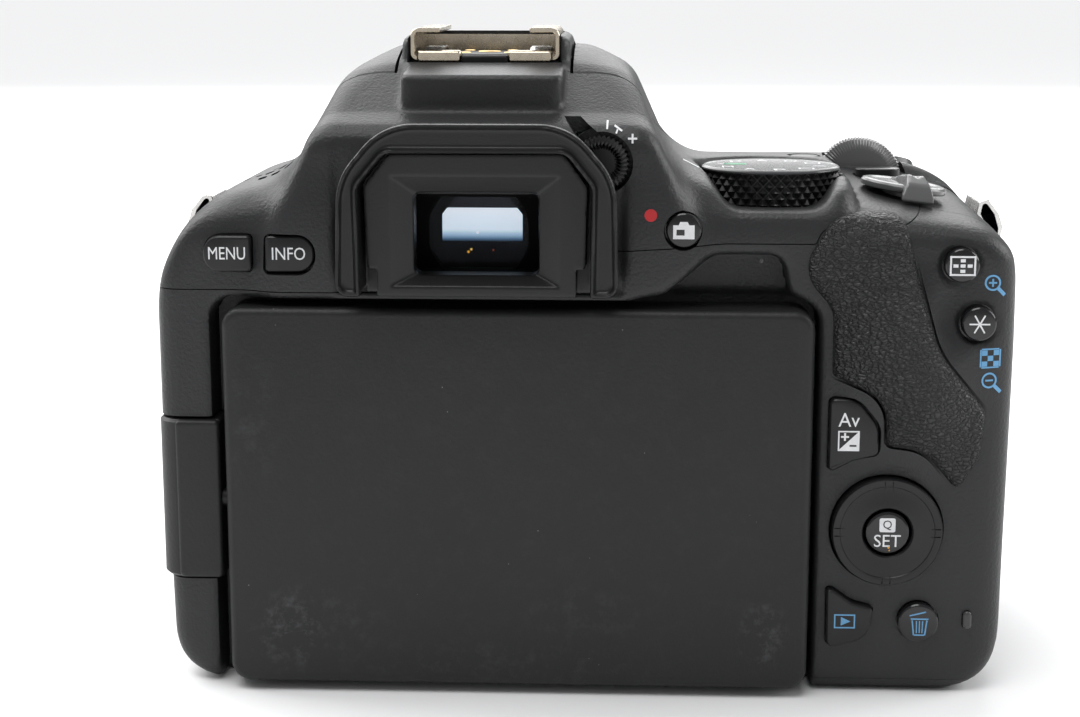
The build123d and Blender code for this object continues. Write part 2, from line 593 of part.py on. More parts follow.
def make_side_parts():
    """The connector block and its two flaps on the left side."""
    block = box((BLOCK_X, -37.0), (FLAP_REAR_Y[0] + 0.5, FLAP_FRONT_Y[1] - 0.5), (FLAP_Z[0] + 1, FLAP_Z[1] - 1))
    front_mid = sum(FLAP_FRONT_Y) / 2
    rear_mid = sum(FLAP_REAR_Y) / 2
    block -= rod_x(front_mid, MIC_Z, JACK_R, (-50, -38.5))
    block -= rod_x(front_mid, REMOTE_Z, 1.28, (-50, -38.5))
    block -= box((-50, -38.5), (rear_mid - 1.6, rear_mid + 1.6), (29.0, 40.2))
    block -= box((-50, -38.5), (rear_mid - 1.5, rear_mid + 1.5), (15.0, 22.5))
    save("connector_block", block)
    for name, (y0, y1) in (("rear_connector_flap", FLAP_REAR_Y), ("front_connector_flap", FLAP_FRONT_Y)):
        flap = box((-50, BLOCK_X - 0.3), (y0, y1), FLAP_Z) & (body_form(0.0) - body_form(1.6))
        tab_z = (FLAP_Z[0] + 8, FLAP_Z[1] - 4)
        inner = box((-44.2, BLOCK_X - 0.3), (y0 + 1.5, y1 - 1.5), tab_z) & body_form(1.5)
        save(name, largest(flap + inner))


BLOCK_X = -42.2         # outer face of the connector block
MIC_Z = 37.0
REMOTE_Z = 19.0


EYECUP_Y = -34.2


def make_eyecup():
    rim = [(-19.0, 57.9, 1.8), (-18.6, 73.2, 4), (-12.8, 80.6, 4)]
    rim += [(-x, z, r) for x, z, r in reversed(rim)]
    leg, bend, top = 14.2, 72.2, 77.0
    hole = [(-12.8, 40, 0), (-12.8, 60.0, 0), (-leg, 60.0, 0), (-leg, bend, 2), (-10.3, top, 2)]
    hole += [(-x, z, r) for x, z, r in reversed(hole)]
    cup = along_y(outline(rim), (EYECUP_Y, BACK_Y - 0.4)) - along_y(outline(hole), (-40, -20))
    face = [(-leg - 0.5, 58.3, 0), (-leg - 0.5, bend, 0), (-10.6, top + 0.5, 0)]
    face += [(-x, z, r) for x, z, r in reversed(face)]
    plate = along_y(outline(face), (-31.0, BACK_Y - 2.4)) - box((-8.7, 8.7), (-40, -20), (60.0, 70.4))
    cup += plate
    cup -= box((-12.8, 12.8), (BACK_Y - 2.4, BACK_Y), (50, 74.9))
    save("eyecup", largest(cup))


def make_shoe():
    z0, z1 = SHOE_FLOOR_Z, TOP_Z
    shoe = box((-SHOE_HALF_W, SHOE_HALF_W), SHOE_Y, (z0, z1))
    shoe -= box((-SHOE_INNER_HALF, SHOE_INNER_HALF), (-20, SHOE_Y[1] - 1.0), (z0 + SHOE_SHEET, z1 - 1.2))
    shoe -= box((-SHOE_OPEN_HALF, SHOE_OPEN_HALF), (-20, 20), (z0 + SHOE_SHEET, z1 + 1))
    shoe -= box((-4.6, 4.6), SHOE_Y, (z0 - 1, z0 + SHOE_SHEET + 0.1))
    save("accessory_shoe", Compound(shoe.solids()))
    plate = box((-SHOE_HALF_W, SHOE_HALF_W), (SHOE_Y[0] + 0.2, SHOE_Y[1]), (z0 - 0.95, z0))
    plate += box((-4.5, 4.5), (SHOE_Y[0] + 0.2, SHOE_Y[1]), (z0, z0 + SHOE_SHEET))
    pads = [(0, 2.0, 1.6), (-3.2, 6.2, 0.8), (3.2, 6.2, 0.8), (-3.2, -2.6, 0.8), (3.2, -2.6, 0.8)]
    for x, y, r in pads:
        plate += rod_z(x, y, r, (z0 + SHOE_SHEET, z0 + SHOE_SHEET + 0.12))
    save("shoe_contacts", plate)


def make_top_controls():
    x, y = DIAL_XY
    dial = rod_z(x, y, DIAL_R, DIAL_Z)
    dial = chamfer(dial.edges().group_by(Axis.Z)[-1], 0.6)
    dial += rod_z(x, y, 2.0, (DIAL_Z[0] - 3.0, DIAL_Z[0]))
    save("mode_dial", dial)
    wheel = rod_y(*WHEEL_XZ, WHEEL_R, WHEEL_Y) + rod_y(*WHEEL_XZ, 1.0, (WHEEL_Y[0] - 1.8, WHEEL_Y[1] + 1.8))
    save("finger_wheel", wheel)
    for name, (x, y, z, length, width, proud) in TOP_BUTTONS.items():
        save(name, Pos(x, y, z) * top_button(length, width, proud))
    save("shutter_button", at_shutter(top_button(SHUTTER_R, SHUTTER_R, 1.2)))
    lever = rod_z(0, 0, 6.0, (-0.1, 1.2)) + rod_z(0, 0, 3.0, (-3.0, -0.1)) + rod_z(0, 0, 4.2, (-3.6, -3.0))
    lever += box((-1.6, 1.6), (-8.4, 0), (0.2, 2.4))
    save("power_lever", at_lever(lever))
    dial = rod_y(*DIOPTER_XZ, DIOPTER_R, (BACK_Y + 0.1, -22.9)) + rod_y(*DIOPTER_XZ, 4.9, (-22.9, -22.1))
    save("diopter_dial", dial)


def make_rear_controls():
    for name, face in REAR_BUTTONS.items():
        save(name, rear_button(face()))
    x, z = RING_XZ
    back = BACK_Y + WALL
    ring = rod_y(x, z, RING_R, (BACK_Y - 0.9, back + 0.3)) - rod_y(x, z, SET_R + FIT, (-40, 0))
    save("cross_key", ring)
    gimbal = rod_y(x, z, RING_R - 0.6, (back + 1.3, back + 2.3)) - rod_y(x, z, SET_R + 1.3, (-40, 0))
    save("cross_key_gimbal", gimbal)
    button = rod_y(x, z, SET_R, (BACK_Y - 0.6, back + 0.4)) + rod_y(x, z, SET_R + 0.1, (back + 0.4, back + 1.0))
    save("set_button", button)


def make_grips():
    """Textured covers: on the grip, on the thumb rest and beside the mount."""
    outer = body_form(0.0)
    skin = body_form(-0.6) - outer
    grip_zone = box((49.5, 90), (-5, 60), (6, 60))
    save("grip_rubber", largest(skin & grip_zone))
    save("thumb_rest", along_y(outline(THUMB_REST), (BACK_Y - 0.8, BACK_Y)))
    side_zone = along_y(outline([(-44, 6, 2), (-44, 54, 2), (-36, 54, 2), (-36.0, 6, 2)]), (10, 20))
    side_zone -= front_clear() + rod_y(*RELEASE_XZ, RELEASE_R + 1.0, (0, 30))
    save("side_rubber", largest((body_form(-0.6) - body_form(0.0)) & side_zone))


THUMB_REST = [
    (45.5, 61.0, 5), (49.5, 68.2, 5), (58.2, 68.2, 2.5), (60.4, 59.5, 60), (63.2, 49.5, 12), (70.2, 41.2, 2),
    (69.6, 34.5, 4), (66.6, 29.4, 1), (61.5, 35.6, 6), (56.3, 36.2, 1.2), (56.0, 43.0, 5), (48.8, 45.8, 1),
    (48.7, 55.0, 4),
]


def lug_plates():
    """The two slotted strap lugs, leaning outwards from the shoulders."""
    plates = []
    for x, side in ((-42.4, -1), (72.6, 1)):
        plate = box((-0.6, 0.6), (3.0, 14.0), (-3.2, 4.4)) - box((-2, 2), (4.2, 12.8), (1.3, 3.4))
        plates.append((Pos(x, 0, 63.0) * Rot(0, 35 * side, 0) * plate).solids()[0])
    return plates


def make_small_parts():
    save("strap_lugs", Compound(lug_plates()))
    save("access_lamp", rod_y(68.75, 11.4, 0.8, (BACK_Y - 0.15, BACK_Y + WALL)))


def make_display():
    x, z = SCREEN_X, SCREEN_Z
    y0, y1 = SCREEN_Y
    case = box(x, (y0, y1), z)
    case = soften(case, case.edges().filter_by(Axis.Y), [2.8])
    bezel_bay = box((x[0] + 3.0, x[1] - 3.0), (y1 - 1.6, y1 + 1), (z[0] + 2.6, z[1] - 2.6))
    hinge_gap = box((x[0] - 1, x[0] + 3.4), (y0 + 1.6, y1), (HINGE_Z[0] - 0.3, HINGE_Z[1] + 0.3))
    case = case - bezel_bay - hinge_gap
    save("display_case", largest(case))
    panel = box((x[0] + 3.2, x[1] - 3.2), (y1 - 1.6, y1 - 0.2), (z[0] + 2.8, z[1] - 2.8))
    save("display_panel", panel)
    ax, ay = HINGE_AXIS
    knuckle = rod_z(ax, ay, HINGE_R, HINGE_Z)
    arm = box((ax, HINGE_ARM_X), (ay - HINGE_R, RECESS_Y - 0.2), HINGE_Z)
    shaft = rod_x(-23.3, sum(HINGE_Z) / 2, 2.0, (HINGE_ARM_X, x[0] + 3.4))
    save("display_hinge", largest(knuckle + arm + shaft))


def main():
    make_covers()
    make_lens_mount()
    make_mirror_box()
    make_inside()
    make_base_parts()
    make_side_parts()
    make_eyecup()
    make_shoe()
    make_top_controls()
    make_rear_controls()
    make_grips()
    make_small_parts()
    make_display()


main()
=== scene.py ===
import math

import bmesh
import bpy
import numpy as np
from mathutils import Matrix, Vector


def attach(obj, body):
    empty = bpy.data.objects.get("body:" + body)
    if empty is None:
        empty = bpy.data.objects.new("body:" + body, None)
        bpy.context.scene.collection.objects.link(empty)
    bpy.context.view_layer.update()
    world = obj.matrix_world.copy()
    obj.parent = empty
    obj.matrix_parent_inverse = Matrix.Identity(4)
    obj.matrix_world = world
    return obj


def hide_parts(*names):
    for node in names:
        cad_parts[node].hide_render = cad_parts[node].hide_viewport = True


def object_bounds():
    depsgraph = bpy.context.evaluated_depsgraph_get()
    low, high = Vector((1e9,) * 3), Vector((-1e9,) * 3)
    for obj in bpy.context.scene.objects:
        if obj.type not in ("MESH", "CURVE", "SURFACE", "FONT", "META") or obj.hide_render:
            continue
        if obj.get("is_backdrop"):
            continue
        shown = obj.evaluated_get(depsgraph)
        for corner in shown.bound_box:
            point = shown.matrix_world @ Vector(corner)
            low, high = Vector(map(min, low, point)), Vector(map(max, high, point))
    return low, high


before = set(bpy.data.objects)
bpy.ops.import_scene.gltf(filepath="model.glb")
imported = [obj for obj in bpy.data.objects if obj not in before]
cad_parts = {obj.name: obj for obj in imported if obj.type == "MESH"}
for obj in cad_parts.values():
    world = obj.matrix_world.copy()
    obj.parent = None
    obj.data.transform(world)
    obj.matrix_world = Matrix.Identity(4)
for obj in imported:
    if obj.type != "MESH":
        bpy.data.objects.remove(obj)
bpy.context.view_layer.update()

import openvdb
from mathutils import Matrix, Vector

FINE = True
ROOT = "camera_body"
MM = 0.001
AXIS_Z = 35.5

# ================================================================= shapes, in millimetres


def arc_corners(points, steps=6):
    """Corner points (u, v, radius) turned into a plain outline with arcs."""
    out = []
    count = len(points)
    for i in range(count):
        before, here, after = (np.array(points[j % count][:2], float) for j in (i - 1, i, i + 1))
        radius = points[i][2]
        a, b = before - here, after - here
        length_a, length_b = np.linalg.norm(a), np.linalg.norm(b)
        a, b = a / length_a, b / length_b
        half = math.acos(float(np.clip(a @ b, -1, 1))) / 2
        if radius <= 0 or half > 1.565:
            out.append(here)
            continue
        reach = min(radius / math.tan(half), 0.49 * length_a, 0.49 * length_b)
        radius = reach * math.tan(half)
        centre = here + (a + b) / np.linalg.norm(a + b) * radius / math.sin(half)
        start, end = here + a * reach - centre, here + b * reach - centre
        angle = math.atan2(start[1], start[0])
        sweep = (math.atan2(end[1], end[0]) - angle + math.pi) % (2 * math.pi) - math.pi
        for k in range(steps + 1):
            t = angle + sweep * k / steps
            out.append(centre + radius * np.array((math.cos(t), math.sin(t))))
    return np.array(out)


def polygon(u, v, points):
    """Signed distance from grid points (u, v) to an outline, negative inside."""
    shape = np.broadcast(u, v).shape
    nearest = np.full(shape, 1e9)
    inside = np.zeros(shape, bool)
    for a, b in zip(points, np.roll(points, -1, axis=0)):
        e = b - a
        pu, pv = u - a[0], v - a[1]
        t = np.clip((pu * e[0] + pv * e[1]) / (e @ e), 0, 1)
        du, dv = pu - t * e[0], pv - t * e[1]
        nearest = np.minimum(nearest, du * du + dv * dv)
        if abs(e[1]) > 1e-12:
            inside ^= ((a[1] <= v) != (b[1] <= v)) & (u < a[0] + pv / e[1] * e[0])
    return np.where(inside, -1.0, 1.0) * np.sqrt(nearest)


def smin(a, b, k):
    h = np.maximum(k - np.abs(a - b), 0) / k
    return np.minimum(a, b) - h * h * k * 0.25


def smax(a, b, k):
    h = np.maximum(k - np.abs(a - b), 0) / k
    return np.maximum(a, b) + h * h * k * 0.25


def ellipsoid(x, y, z, centre, radii):
    """Nearly the distance to an ellipsoid."""
    dx, dy, dz = (x - centre[0]) / radii[0], (y - centre[1]) / radii[1], (z - centre[2]) / radii[2]
    k0 = np.sqrt(dx * dx + dy * dy + dz * dz)
    k1 = np.sqrt((dx / radii[0]) ** 2 + (dy / radii[1]) ** 2 + (dz / radii[2]) ** 2)
    return k0 * (k0 - 1.0) / np.maximum(k1, 1e-6)


def field_mesh(name, field, low, high, step):
    """Meshes where field(x, y, z) is zero, over a box sampled every step millimetres."""
    axes = [np.arange(a, b + step, step, dtype=np.float32) for a, b in zip(low, high)]
    x, y, z = axes[0][:, None, None], axes[1][None, :, None], axes[2][None, None, :]
    values = np.broadcast_to(field(x, y, z), tuple(len(a) for a in axes)).astype(np.float32)
    values = np.clip(values, -3 * step, 3 * step)
    grid = openvdb.FloatGrid(3 * step)
    grid.copyFromArray(np.ascontiguousarray(values))
    points, quads = grid.convertToQuads(0.0)
    points = points * step + np.array(low, np.float32)
    return new_mesh(name, points, quads[:, ::-1])


def add_object(name, data):
    obj = bpy.data.objects.new(name, data)
    bpy.context.scene.collection.objects.link(obj)
    return obj


def new_mesh(name, points, faces):
    """An object from points in millimetres, with its faces turned outwards."""
    mesh = bpy.data.meshes.new(name)
    mesh.from_pydata((np.asarray(points, float) * MM).tolist(), [], [list(map(int, f)) for f in faces])
    mesh.update()
    obj = add_object(name, mesh)
    if signed_volume(mesh) < 0:
        mesh.flip_normals()
    return obj


def signed_volume(mesh):
    mesh.calc_loop_triangles()
    co = np.empty(len(mesh.vertices) * 3)
    mesh.vertices.foreach_get("co", co)
    tri = np.empty(len(mesh.loop_triangles) * 3, np.int32)
    mesh.loop_triangles.foreach_get("vertices", tri)
    co, tri = co.reshape(-1, 3), tri.reshape(-1, 3)
    a, b, c = co[tri[:, 0]], co[tri[:, 1]], co[tri[:, 2]]
    return float(np.einsum("ij,ij->i", a, np.cross(b, c)).sum() / 6)


PLACE = {  # how an outline's (u, v) and height w become (x, y, z)
    "y": lambda u, v, w: (u, w, v),
    "z": lambda u, v, w: (u, v, w),
    "x": lambda u, v, w: (w, u, v),
}


def grow(points, distance):
    """The outline moved outwards by distance."""
    points = np.asarray(points, float)
    area = 0.5 * np.sum(points[:, 0] * np.roll(points[:, 1], -1) - np.roll(points[:, 0], -1) * points[:, 1])
    e0 = points - np.roll(points, 1, axis=0)
    e1 = np.roll(points, -1, axis=0) - points
    n0 = np.stack([e0[:, 1], -e0[:, 0]], 1) / np.maximum(np.linalg.norm(e0, axis=1)[:, None], 1e-9)
    n1 = np.stack([e1[:, 1], -e1[:, 0]], 1) / np.maximum(np.linalg.norm(e1, axis=1)[:, None], 1e-9)
    n = n0 + n1
    n /= np.maximum(np.linalg.norm(n, axis=1)[:, None], 1e-9)
    cos = np.clip(np.sum(n * n1, axis=1), 0.5, 1)
    return points + n / cos[:, None] * distance * (1 if area > 0 else -1)


def prism(name, outline, axis, levels):
    """A solid whose outline is grown by g at each (height, g) of levels."""
    outline = np.asarray(outline, float)
    rings = [(grow(outline, g) if g else outline, w) for w, g in levels]
    count = len(outline)
    points, faces = [], []
    for ring, w in rings:
        points += [PLACE[axis](u, v, w) for u, v in ring]
    for k in range(len(rings) - 1):
        for i in range(count):
            j = (i + 1) % count
            faces.append((k * count + i, k * count + j, (k + 1) * count + j, (k + 1) * count + i))
    faces.append(tuple(range(count)))
    faces.append(tuple(range((len(rings) - 1) * count, len(rings) * count))[::-1])
    obj = new_mesh(name, points, faces)
    tidy_faces(obj, True)
    if signed_volume(obj.data) < 0:
        obj.data.flip_normals()
    return obj


def tidy_faces(obj, triangulate=False):
    """Faces turned the same way, and the many-sided ones triangulated."""
    bm = bmesh.new()
    bm.from_mesh(obj.data)
    bmesh.ops.recalc_face_normals(bm, faces=bm.faces)
    if triangulate:
        bmesh.ops.triangulate(bm, faces=[f for f in bm.faces if len(f.verts) > 4])
    bm.to_mesh(obj.data)
    bm.free()


def circle(u, v, radius, count=64):
    t = np.linspace(0, 2 * math.pi, count, endpoint=False)
    return np.stack([u + radius * np.cos(t), v + radius * np.sin(t)], 1)


def rectangle(u, v, radius=0.0, steps=4):
    (u0, u1), (v0, v1) = u, v
    return arc_corners([(u0, v0, radius), (u1, v0, radius), (u1, v1, radius), (u0, v1, radius)], steps)


def bar(name, outline, axis, low, high):
    """A plain prism between two heights."""
    return prism(name, outline, axis, [(low, 0), (high, 0)])


def block(name, x, y, z):
    return bar(name, rectangle(x, y), "z", *z)


def turned(name, centre, axis, profile, count=96, bump=None):
    """A turned piece: profile is (radius, height) from one end of the axis to the other."""
    points, faces = [], []
    rings = []
    for r, w in profile:
        if r <= 1e-6:
            rings.append([len(points)])
            points.append(turn_point(centre, axis, 0, 0, w))
            continue
        ring = []
        for k in range(count):
            t = 2 * math.pi * k / count
            rr = r + (bump(t, w) if bump else 0.0)
            ring.append(len(points))
            points.append(turn_point(centre, axis, rr * math.cos(t), rr * math.sin(t), w))
        rings.append(ring)
    for a, b in zip(rings, rings[1:]):
        if len(a) == 1 and len(b) == 1:
            continue
        for k in range(count):
            j = (k + 1) % count
            if len(a) == 1:
                faces.append((a[0], b[j], b[k]))
            elif len(b) == 1:
                faces.append((a[k], a[j], b[0]))
            else:
                faces.append((a[k], a[j], b[j], b[k]))
    if len(rings[0]) > 1:
        faces.append(tuple(rings[0])[::-1])
    if len(rings[-1]) > 1:
        faces.append(tuple(rings[-1]))
    return new_mesh(name, points, faces)


def turn_point(centre, axis, u, v, w):
    return PLACE[axis](centre[0] + (-u if axis == "y" else u), centre[1] + v, w)


def cut(target, *cutters, operation="DIFFERENCE"):
    """Takes the cutters out of target, or keeps only what is inside them, and removes them."""
    for cutter in cutters:
        modifier = target.modifiers.new("cut", "BOOLEAN")
        modifier.operation = operation
        modifier.solver = "MANIFOLD"
        modifier.object = cutter
        bpy.context.view_layer.update()
        graph = bpy.context.evaluated_depsgraph_get()
        made = bpy.data.meshes.new_from_object(target.evaluated_get(graph))
        target.modifiers.clear()
        if len(made.polygons):
            old = target.data
            target.data = made
            bpy.data.meshes.remove(old)
        else:
            print("EMPTY BOOLEAN", target.name, cutter.name)
        bpy.data.objects.remove(cutter)
    return target


def join(name, objects):
    """Several objects made one, with each one's materials kept."""
    with bpy.context.temp_override(active_object=objects[0], selected_editable_objects=objects):
        bpy.ops.object.join()
    objects[0].name = name
    objects[0].data.name = name
    return objects[0]


def copy(obj, name):
    other = obj.copy()
    other.data = obj.data.copy()
    other.name = name
    bpy.context.scene.collection.objects.link(other)
    return other


def put(obj, body, material, stands_for=None, angle=32):
    """Finishes a piece: material, shading, the body it rides on and the node it stands for."""
    obj.data.materials.clear()
    obj.data.materials.append(material)
    obj.data.shade_smooth()
    obj.data.set_sharp_from_angle(angle=math.radians(angle))
    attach(obj, body)
    if stands_for:
        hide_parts(stands_for)


# ================================================================= materials


def shader(name):
    material = bpy.data.materials.new(name)
    material.use_nodes = True
    tree = material.node_tree
    return material, tree, tree.nodes["Principled BSDF"]


def node(tree, kind, inputs=(), **settings):
    made = tree.nodes.new(kind)
    for key, value in settings.items():
        setattr(made, key, value)
    for key, value in dict(inputs).items():
        if isinstance(value, bpy.types.NodeSocket):
            tree.links.new(value, made.inputs[key])
        else:
            made.inputs[key].default_value = value
    return made


def coordinates(tree, scale=(1, 1, 1)):
    made = node(tree, "ShaderNodeTexCoord")
    mapped = node(tree, "ShaderNodeMapping", {"Vector": made.outputs["Object"], "Scale": scale})
    return mapped.outputs["Vector"]


def ramp(tree, value, stops):
    made = node(tree, "ShaderNodeValToRGB", {"Fac": value})
    elements = made.color_ramp.elements
    for element, (position, colour) in zip(elements, (stops[0], stops[-1])):
        element.position = position
        element.color = rgba(colour)
    for position, colour in stops[1:-1]:
        elements.new(position).color = rgba(colour)
    return made.outputs["Color"]


def rgba(value):
    """A colour with alpha from a grey level or an (r, g, b) colour."""
    return (value, value, value, 1) if isinstance(value, (int, float)) else (*value, 1)


def noise(tree, at, scale, detail=3.0, rough=0.55):
    inputs = {"Vector": at, "Scale": scale, "Detail": detail, "Roughness": rough}
    made = node(tree, "ShaderNodeTexNoise", inputs)
    return made.outputs["Fac"]


def math_node(tree, operation, a, b=0.5, clamp=False):
    made = node(tree, "ShaderNodeMath", operation=operation, use_clamp=clamp)
    for socket, value in zip(made.inputs, (a, b)):
        if isinstance(value, bpy.types.NodeSocket):
            tree.links.new(value, socket)
        else:
            socket.default_value = value
    return made.outputs[0]


def times(tree, a, b, clamp=False):
    return math_node(tree, "MULTIPLY", a, b, clamp)


def plus(tree, a, b):
    return math_node(tree, "ADD", a, b)


def minus(tree, a, b, clamp=False):
    return math_node(tree, "SUBTRACT", a, b, clamp)


def blend(tree, factor, low, high):
    """A colour between low and high, which are colours or sockets."""
    made = node(tree, "ShaderNodeMix", {"Factor": factor}, data_type="RGBA")
    for socket, value in ((made.inputs[6], low), (made.inputs[7], high)):
        if isinstance(value, bpy.types.NodeSocket):
            tree.links.new(value, socket)
        else:
            socket.default_value = rgba(value)
    return made.outputs[2]


def scaled(colour, factor):
    return tuple(min(1.0, factor * c) for c in colour)


def bump(tree, bsdf, height, distance, strength=1.0):
    made = node(tree, "ShaderNodeBump", {"Height": height, "Distance": distance, "Strength": strength})
    tree.links.new(made.outputs["Normal"], bsdf.inputs["Normal"])


def plastic(name, colour, roughness, grain=0.5, distance=0.00003, dust=0.25, scale=3200, specular=0.3):
    """Moulded plastic: spark-eroded grain, slight unevenness of tone, and a little dust."""
    material, tree, bsdf = shader(name)
    at = coordinates(tree)
    fine = noise(tree, at, scale, 2.0, 0.6)
    broad = noise(tree, at, 45, 3.0)
    specks = node(tree, "ShaderNodeTexVoronoi", {"Vector": at, "Scale": 420.0, "Randomness": 1.0})
    size = noise(tree, at, 160, 2.0)
    near = math_node(tree, "LESS_THAN", specks.outputs["Distance"], times(tree, size, 0.055))
    rare = math_node(tree, "GREATER_THAN", noise(tree, at, 90, 1.0), 0.56)
    dot = times(tree, times(tree, near, rare), dust)
    base = blend(tree, broad, scaled(colour, 0.86), scaled(colour, 1.14))
    tree.links.new(blend(tree, dot, base, (0.32, 0.31, 0.29)), bsdf.inputs["Base Color"])
    tree.links.new(plus(tree, times(tree, fine, 0.12), roughness - 0.06), bsdf.inputs["Roughness"])
    bsdf.inputs["Specular IOR Level"].default_value = specular
    bump(tree, bsdf, fine, distance, grain)
    return material


def leather(name, colour, roughness, scale=1500, distance=0.00032):
    """Rubber moulded with a leather grain: small irregular pebbles with creases between them, the creases
    coloured darker as painted shade and the pebble tops lighter as painted highlight.
    """
    material, tree, bsdf = shader(name)
    at = coordinates(tree, (0.75, 1.0, 1.25))
    warp = node(tree, "ShaderNodeTexNoise", {"Vector": at, "Scale": 1100.0, "Detail": 2.0}).outputs["Color"]
    reach = (0.0007, 0.0007, 0.0007)
    offset = node(tree, "ShaderNodeVectorMath", {0: warp, 1: reach}, operation="MULTIPLY")
    moved = node(tree, "ShaderNodeVectorMath", {0: at, 1: offset.outputs[0]}, operation="ADD").outputs[0]
    pebbles = {"Vector": moved, "Scale": float(scale)}
    cells = node(tree, "ShaderNodeTexVoronoi", pebbles, feature="DISTANCE_TO_EDGE")
    crease = ramp(tree, cells.outputs["Distance"], [(0.0, 0.0), (0.10, 0.55), (0.40, 1.0)])
    fold = noise(tree, moved, 800, 2.0)
    fine = noise(tree, at, 4200, 2.0)
    height = plus(tree, crease, times(tree, fine, 0.1))
    height = plus(tree, height, times(tree, fold, 0.5))
    # Painted shade and highlight: the creases are coloured darker and the pebble tops lighter.
    base = blend(tree, crease, scaled(colour, 0.5), scaled(colour, 1.12))
    tree.links.new(base, bsdf.inputs["Base Color"])
    rough = minus(tree, roughness + 0.08, times(tree, crease, 0.14))
    tree.links.new(rough, bsdf.inputs["Roughness"])
    bsdf.inputs["Specular IOR Level"].default_value = 0.42
    bump(tree, bsdf, height, distance, 1.0)
    return material


def metal(name, colour, roughness, brushed=(1, 1, 1), scratches=0.35):
    """Plated or turned metal, with fine scratches and faint tarnish."""
    material, tree, bsdf = shader(name)
    at = coordinates(tree, brushed)
    fine = noise(tree, at, 900, 4.0, 0.7)
    broad = noise(tree, coordinates(tree), 60, 3.0)
    base = blend(tree, broad, scaled(colour, 0.82), scaled(colour, 1.06))
    tree.links.new(base, bsdf.inputs["Base Color"])
    bsdf.inputs["Metallic"].default_value = 1.0
    rough = plus(tree, times(tree, fine, scratches), roughness)
    tree.links.new(rough, bsdf.inputs["Roughness"])
    bump(tree, bsdf, fine, 0.00002, 0.35)
    return material


def paint(name, colour, roughness=0.5):
    """Printed ink: slightly uneven in cover."""
    material, tree, bsdf = shader(name)
    worn = noise(tree, coordinates(tree), 1500, 3.0)
    tree.links.new(blend(tree, worn, scaled(colour, 0.82), colour), bsdf.inputs["Base Color"])
    bsdf.inputs["Roughness"].default_value = roughness
    return material


BODY = plastic("body_plastic", (0.0165, 0.0168, 0.0178), 0.44, 0.9, 0.00010, scale=2200, specular=0.38)
CASE = plastic("display_plastic", (0.0150, 0.0151, 0.0156), 0.46, 0.8, 0.00006, dust=0.5, scale=2200)
BUTTON = plastic("button_plastic", (0.012, 0.012, 0.013), 0.30, 0.3, 0.00001, dust=0.1)
DARK = plastic("inner_plastic", (0.005, 0.005, 0.0055), 0.5, 0.4, 0.00002, dust=0.1)
BLACK = plastic("matte_black", (0.003, 0.003, 0.003), 0.8, 0.4, 0.00002, dust=0.1, specular=0.06)
RUBBER = plastic("eyecup_rubber", (0.0095, 0.0095, 0.010), 0.36, 0.5, 0.00004, dust=0.6, specular=0.34)
GRAIN = leather("leather_rubber", (0.015, 0.015, 0.0155), 0.42)


def scuffs(material, patches):
    """Rubbed, dusty places: (x, z, radius x, radius z, strength) in millimetres."""
    tree = material.node_tree
    bsdf = tree.nodes["Principled BSDF"]
    parts = node(tree, "ShaderNodeSeparateXYZ", {"Vector": coordinates(tree)})
    total = None
    for x, z, wide, high, strength in patches:
        u = times(tree, minus(tree, parts.outputs["X"], x * MM), 1000.0 / wide)
        v = times(tree, minus(tree, parts.outputs["Z"], z * MM), 1000.0 / high)
        away = plus(tree, times(tree, u, u), times(tree, v, v))
        patch = times(tree, minus(tree, 1.0, away, True), strength)
        total = patch if total is None else plus(tree, total, patch)
    cloud = noise(tree, coordinates(tree), 330, 5.0, 0.75)
    cloud = times(tree, minus(tree, cloud, 0.5, True), 4.0, True)
    stretched = coordinates(tree, (1, 1, 2.2))
    hair = node(tree, "ShaderNodeTexNoise", {"Vector": stretched, "Scale": 120.0, "Detail": 4.0})
    thin = math_node(tree, "ABSOLUTE", minus(tree, hair.outputs["Fac"], 0.5))
    thin = times(tree, math_node(tree, "LESS_THAN", thin, 0.0022), 0.25)
    rubbed = times(tree, total, plus(tree, cloud, thin), True)
    clean = bsdf.inputs["Base Color"].links[0].from_socket
    tree.links.new(blend(tree, rubbed, clean, (0.16, 0.165, 0.175)), bsdf.inputs["Base Color"])


scuffs(CASE, [
    (-27.0, 9.0, 6.0, 7.0, 0.32), (-21.0, 11.0, 9.0, 6.0, 0.12), (40.0, 9.0, 4.0, 6.0, 0.35),
    (15.0, 12.0, 9.0, 5.0, 0.08),
    (-32.0, 40.0, 5.0, 12.0, 0.10), (2.0, 4.0, 30.0, 5.0, 0.1), (10.0, 30.0, 60.0, 40.0, 0.04),
])
WHITE = paint("white_ink", (0.78, 0.79, 0.80))
BLUE = paint("blue_ink", (0.13, 0.35, 0.60))
RED = paint("red_ink", (0.50, 0.015, 0.02))
GREEN = paint("green_ink", (0.03, 0.32, 0.14))
SHOE = metal("nickel", (0.50, 0.44, 0.35), 0.13, (1, 6, 1), 0.25)
DIALTOP = plastic("dial_top", (0.05, 0.051, 0.053), 0.24, 0.25, 0.00001, dust=0.1, specular=0.5)
GLOSS = plastic("gloss_button", (0.009, 0.009, 0.010), 0.16, 0.12, 0.00001, dust=0.15, specular=0.45)
# Painted reflection: the power lever and finger wheel get a light grey base colour that stands for the sheen
# of their glossy plastic.
LEVER_PAINTED_SHEEN = plastic("lever_plastic_painted_sheen", (0.11, 0.11, 0.112), 0.24, 0.3, 0.00001, dust=0.1, specular=0.5)
SHUTTERMAT = plastic("shutter_button", (0.06, 0.06, 0.062), 0.24, 0.2, 0.00001, dust=0.1)
LAMP = plastic("lamp_lens", (0.06, 0.058, 0.058), 0.22, 0.2, 0.00001, dust=0.1)
AMBER = paint("amber_speck", (0.8, 0.38, 0.05))
DARKINK = paint("dark_ink", (0.015, 0.015, 0.016))
CHROME = metal("chrome", (0.74, 0.73, 0.71), 0.10)
STEEL = metal("steel", (0.50, 0.49, 0.47), 0.28)
GOLD = metal("gold", (0.85, 0.62, 0.28), 0.18)

# ================================================================= the moulded body

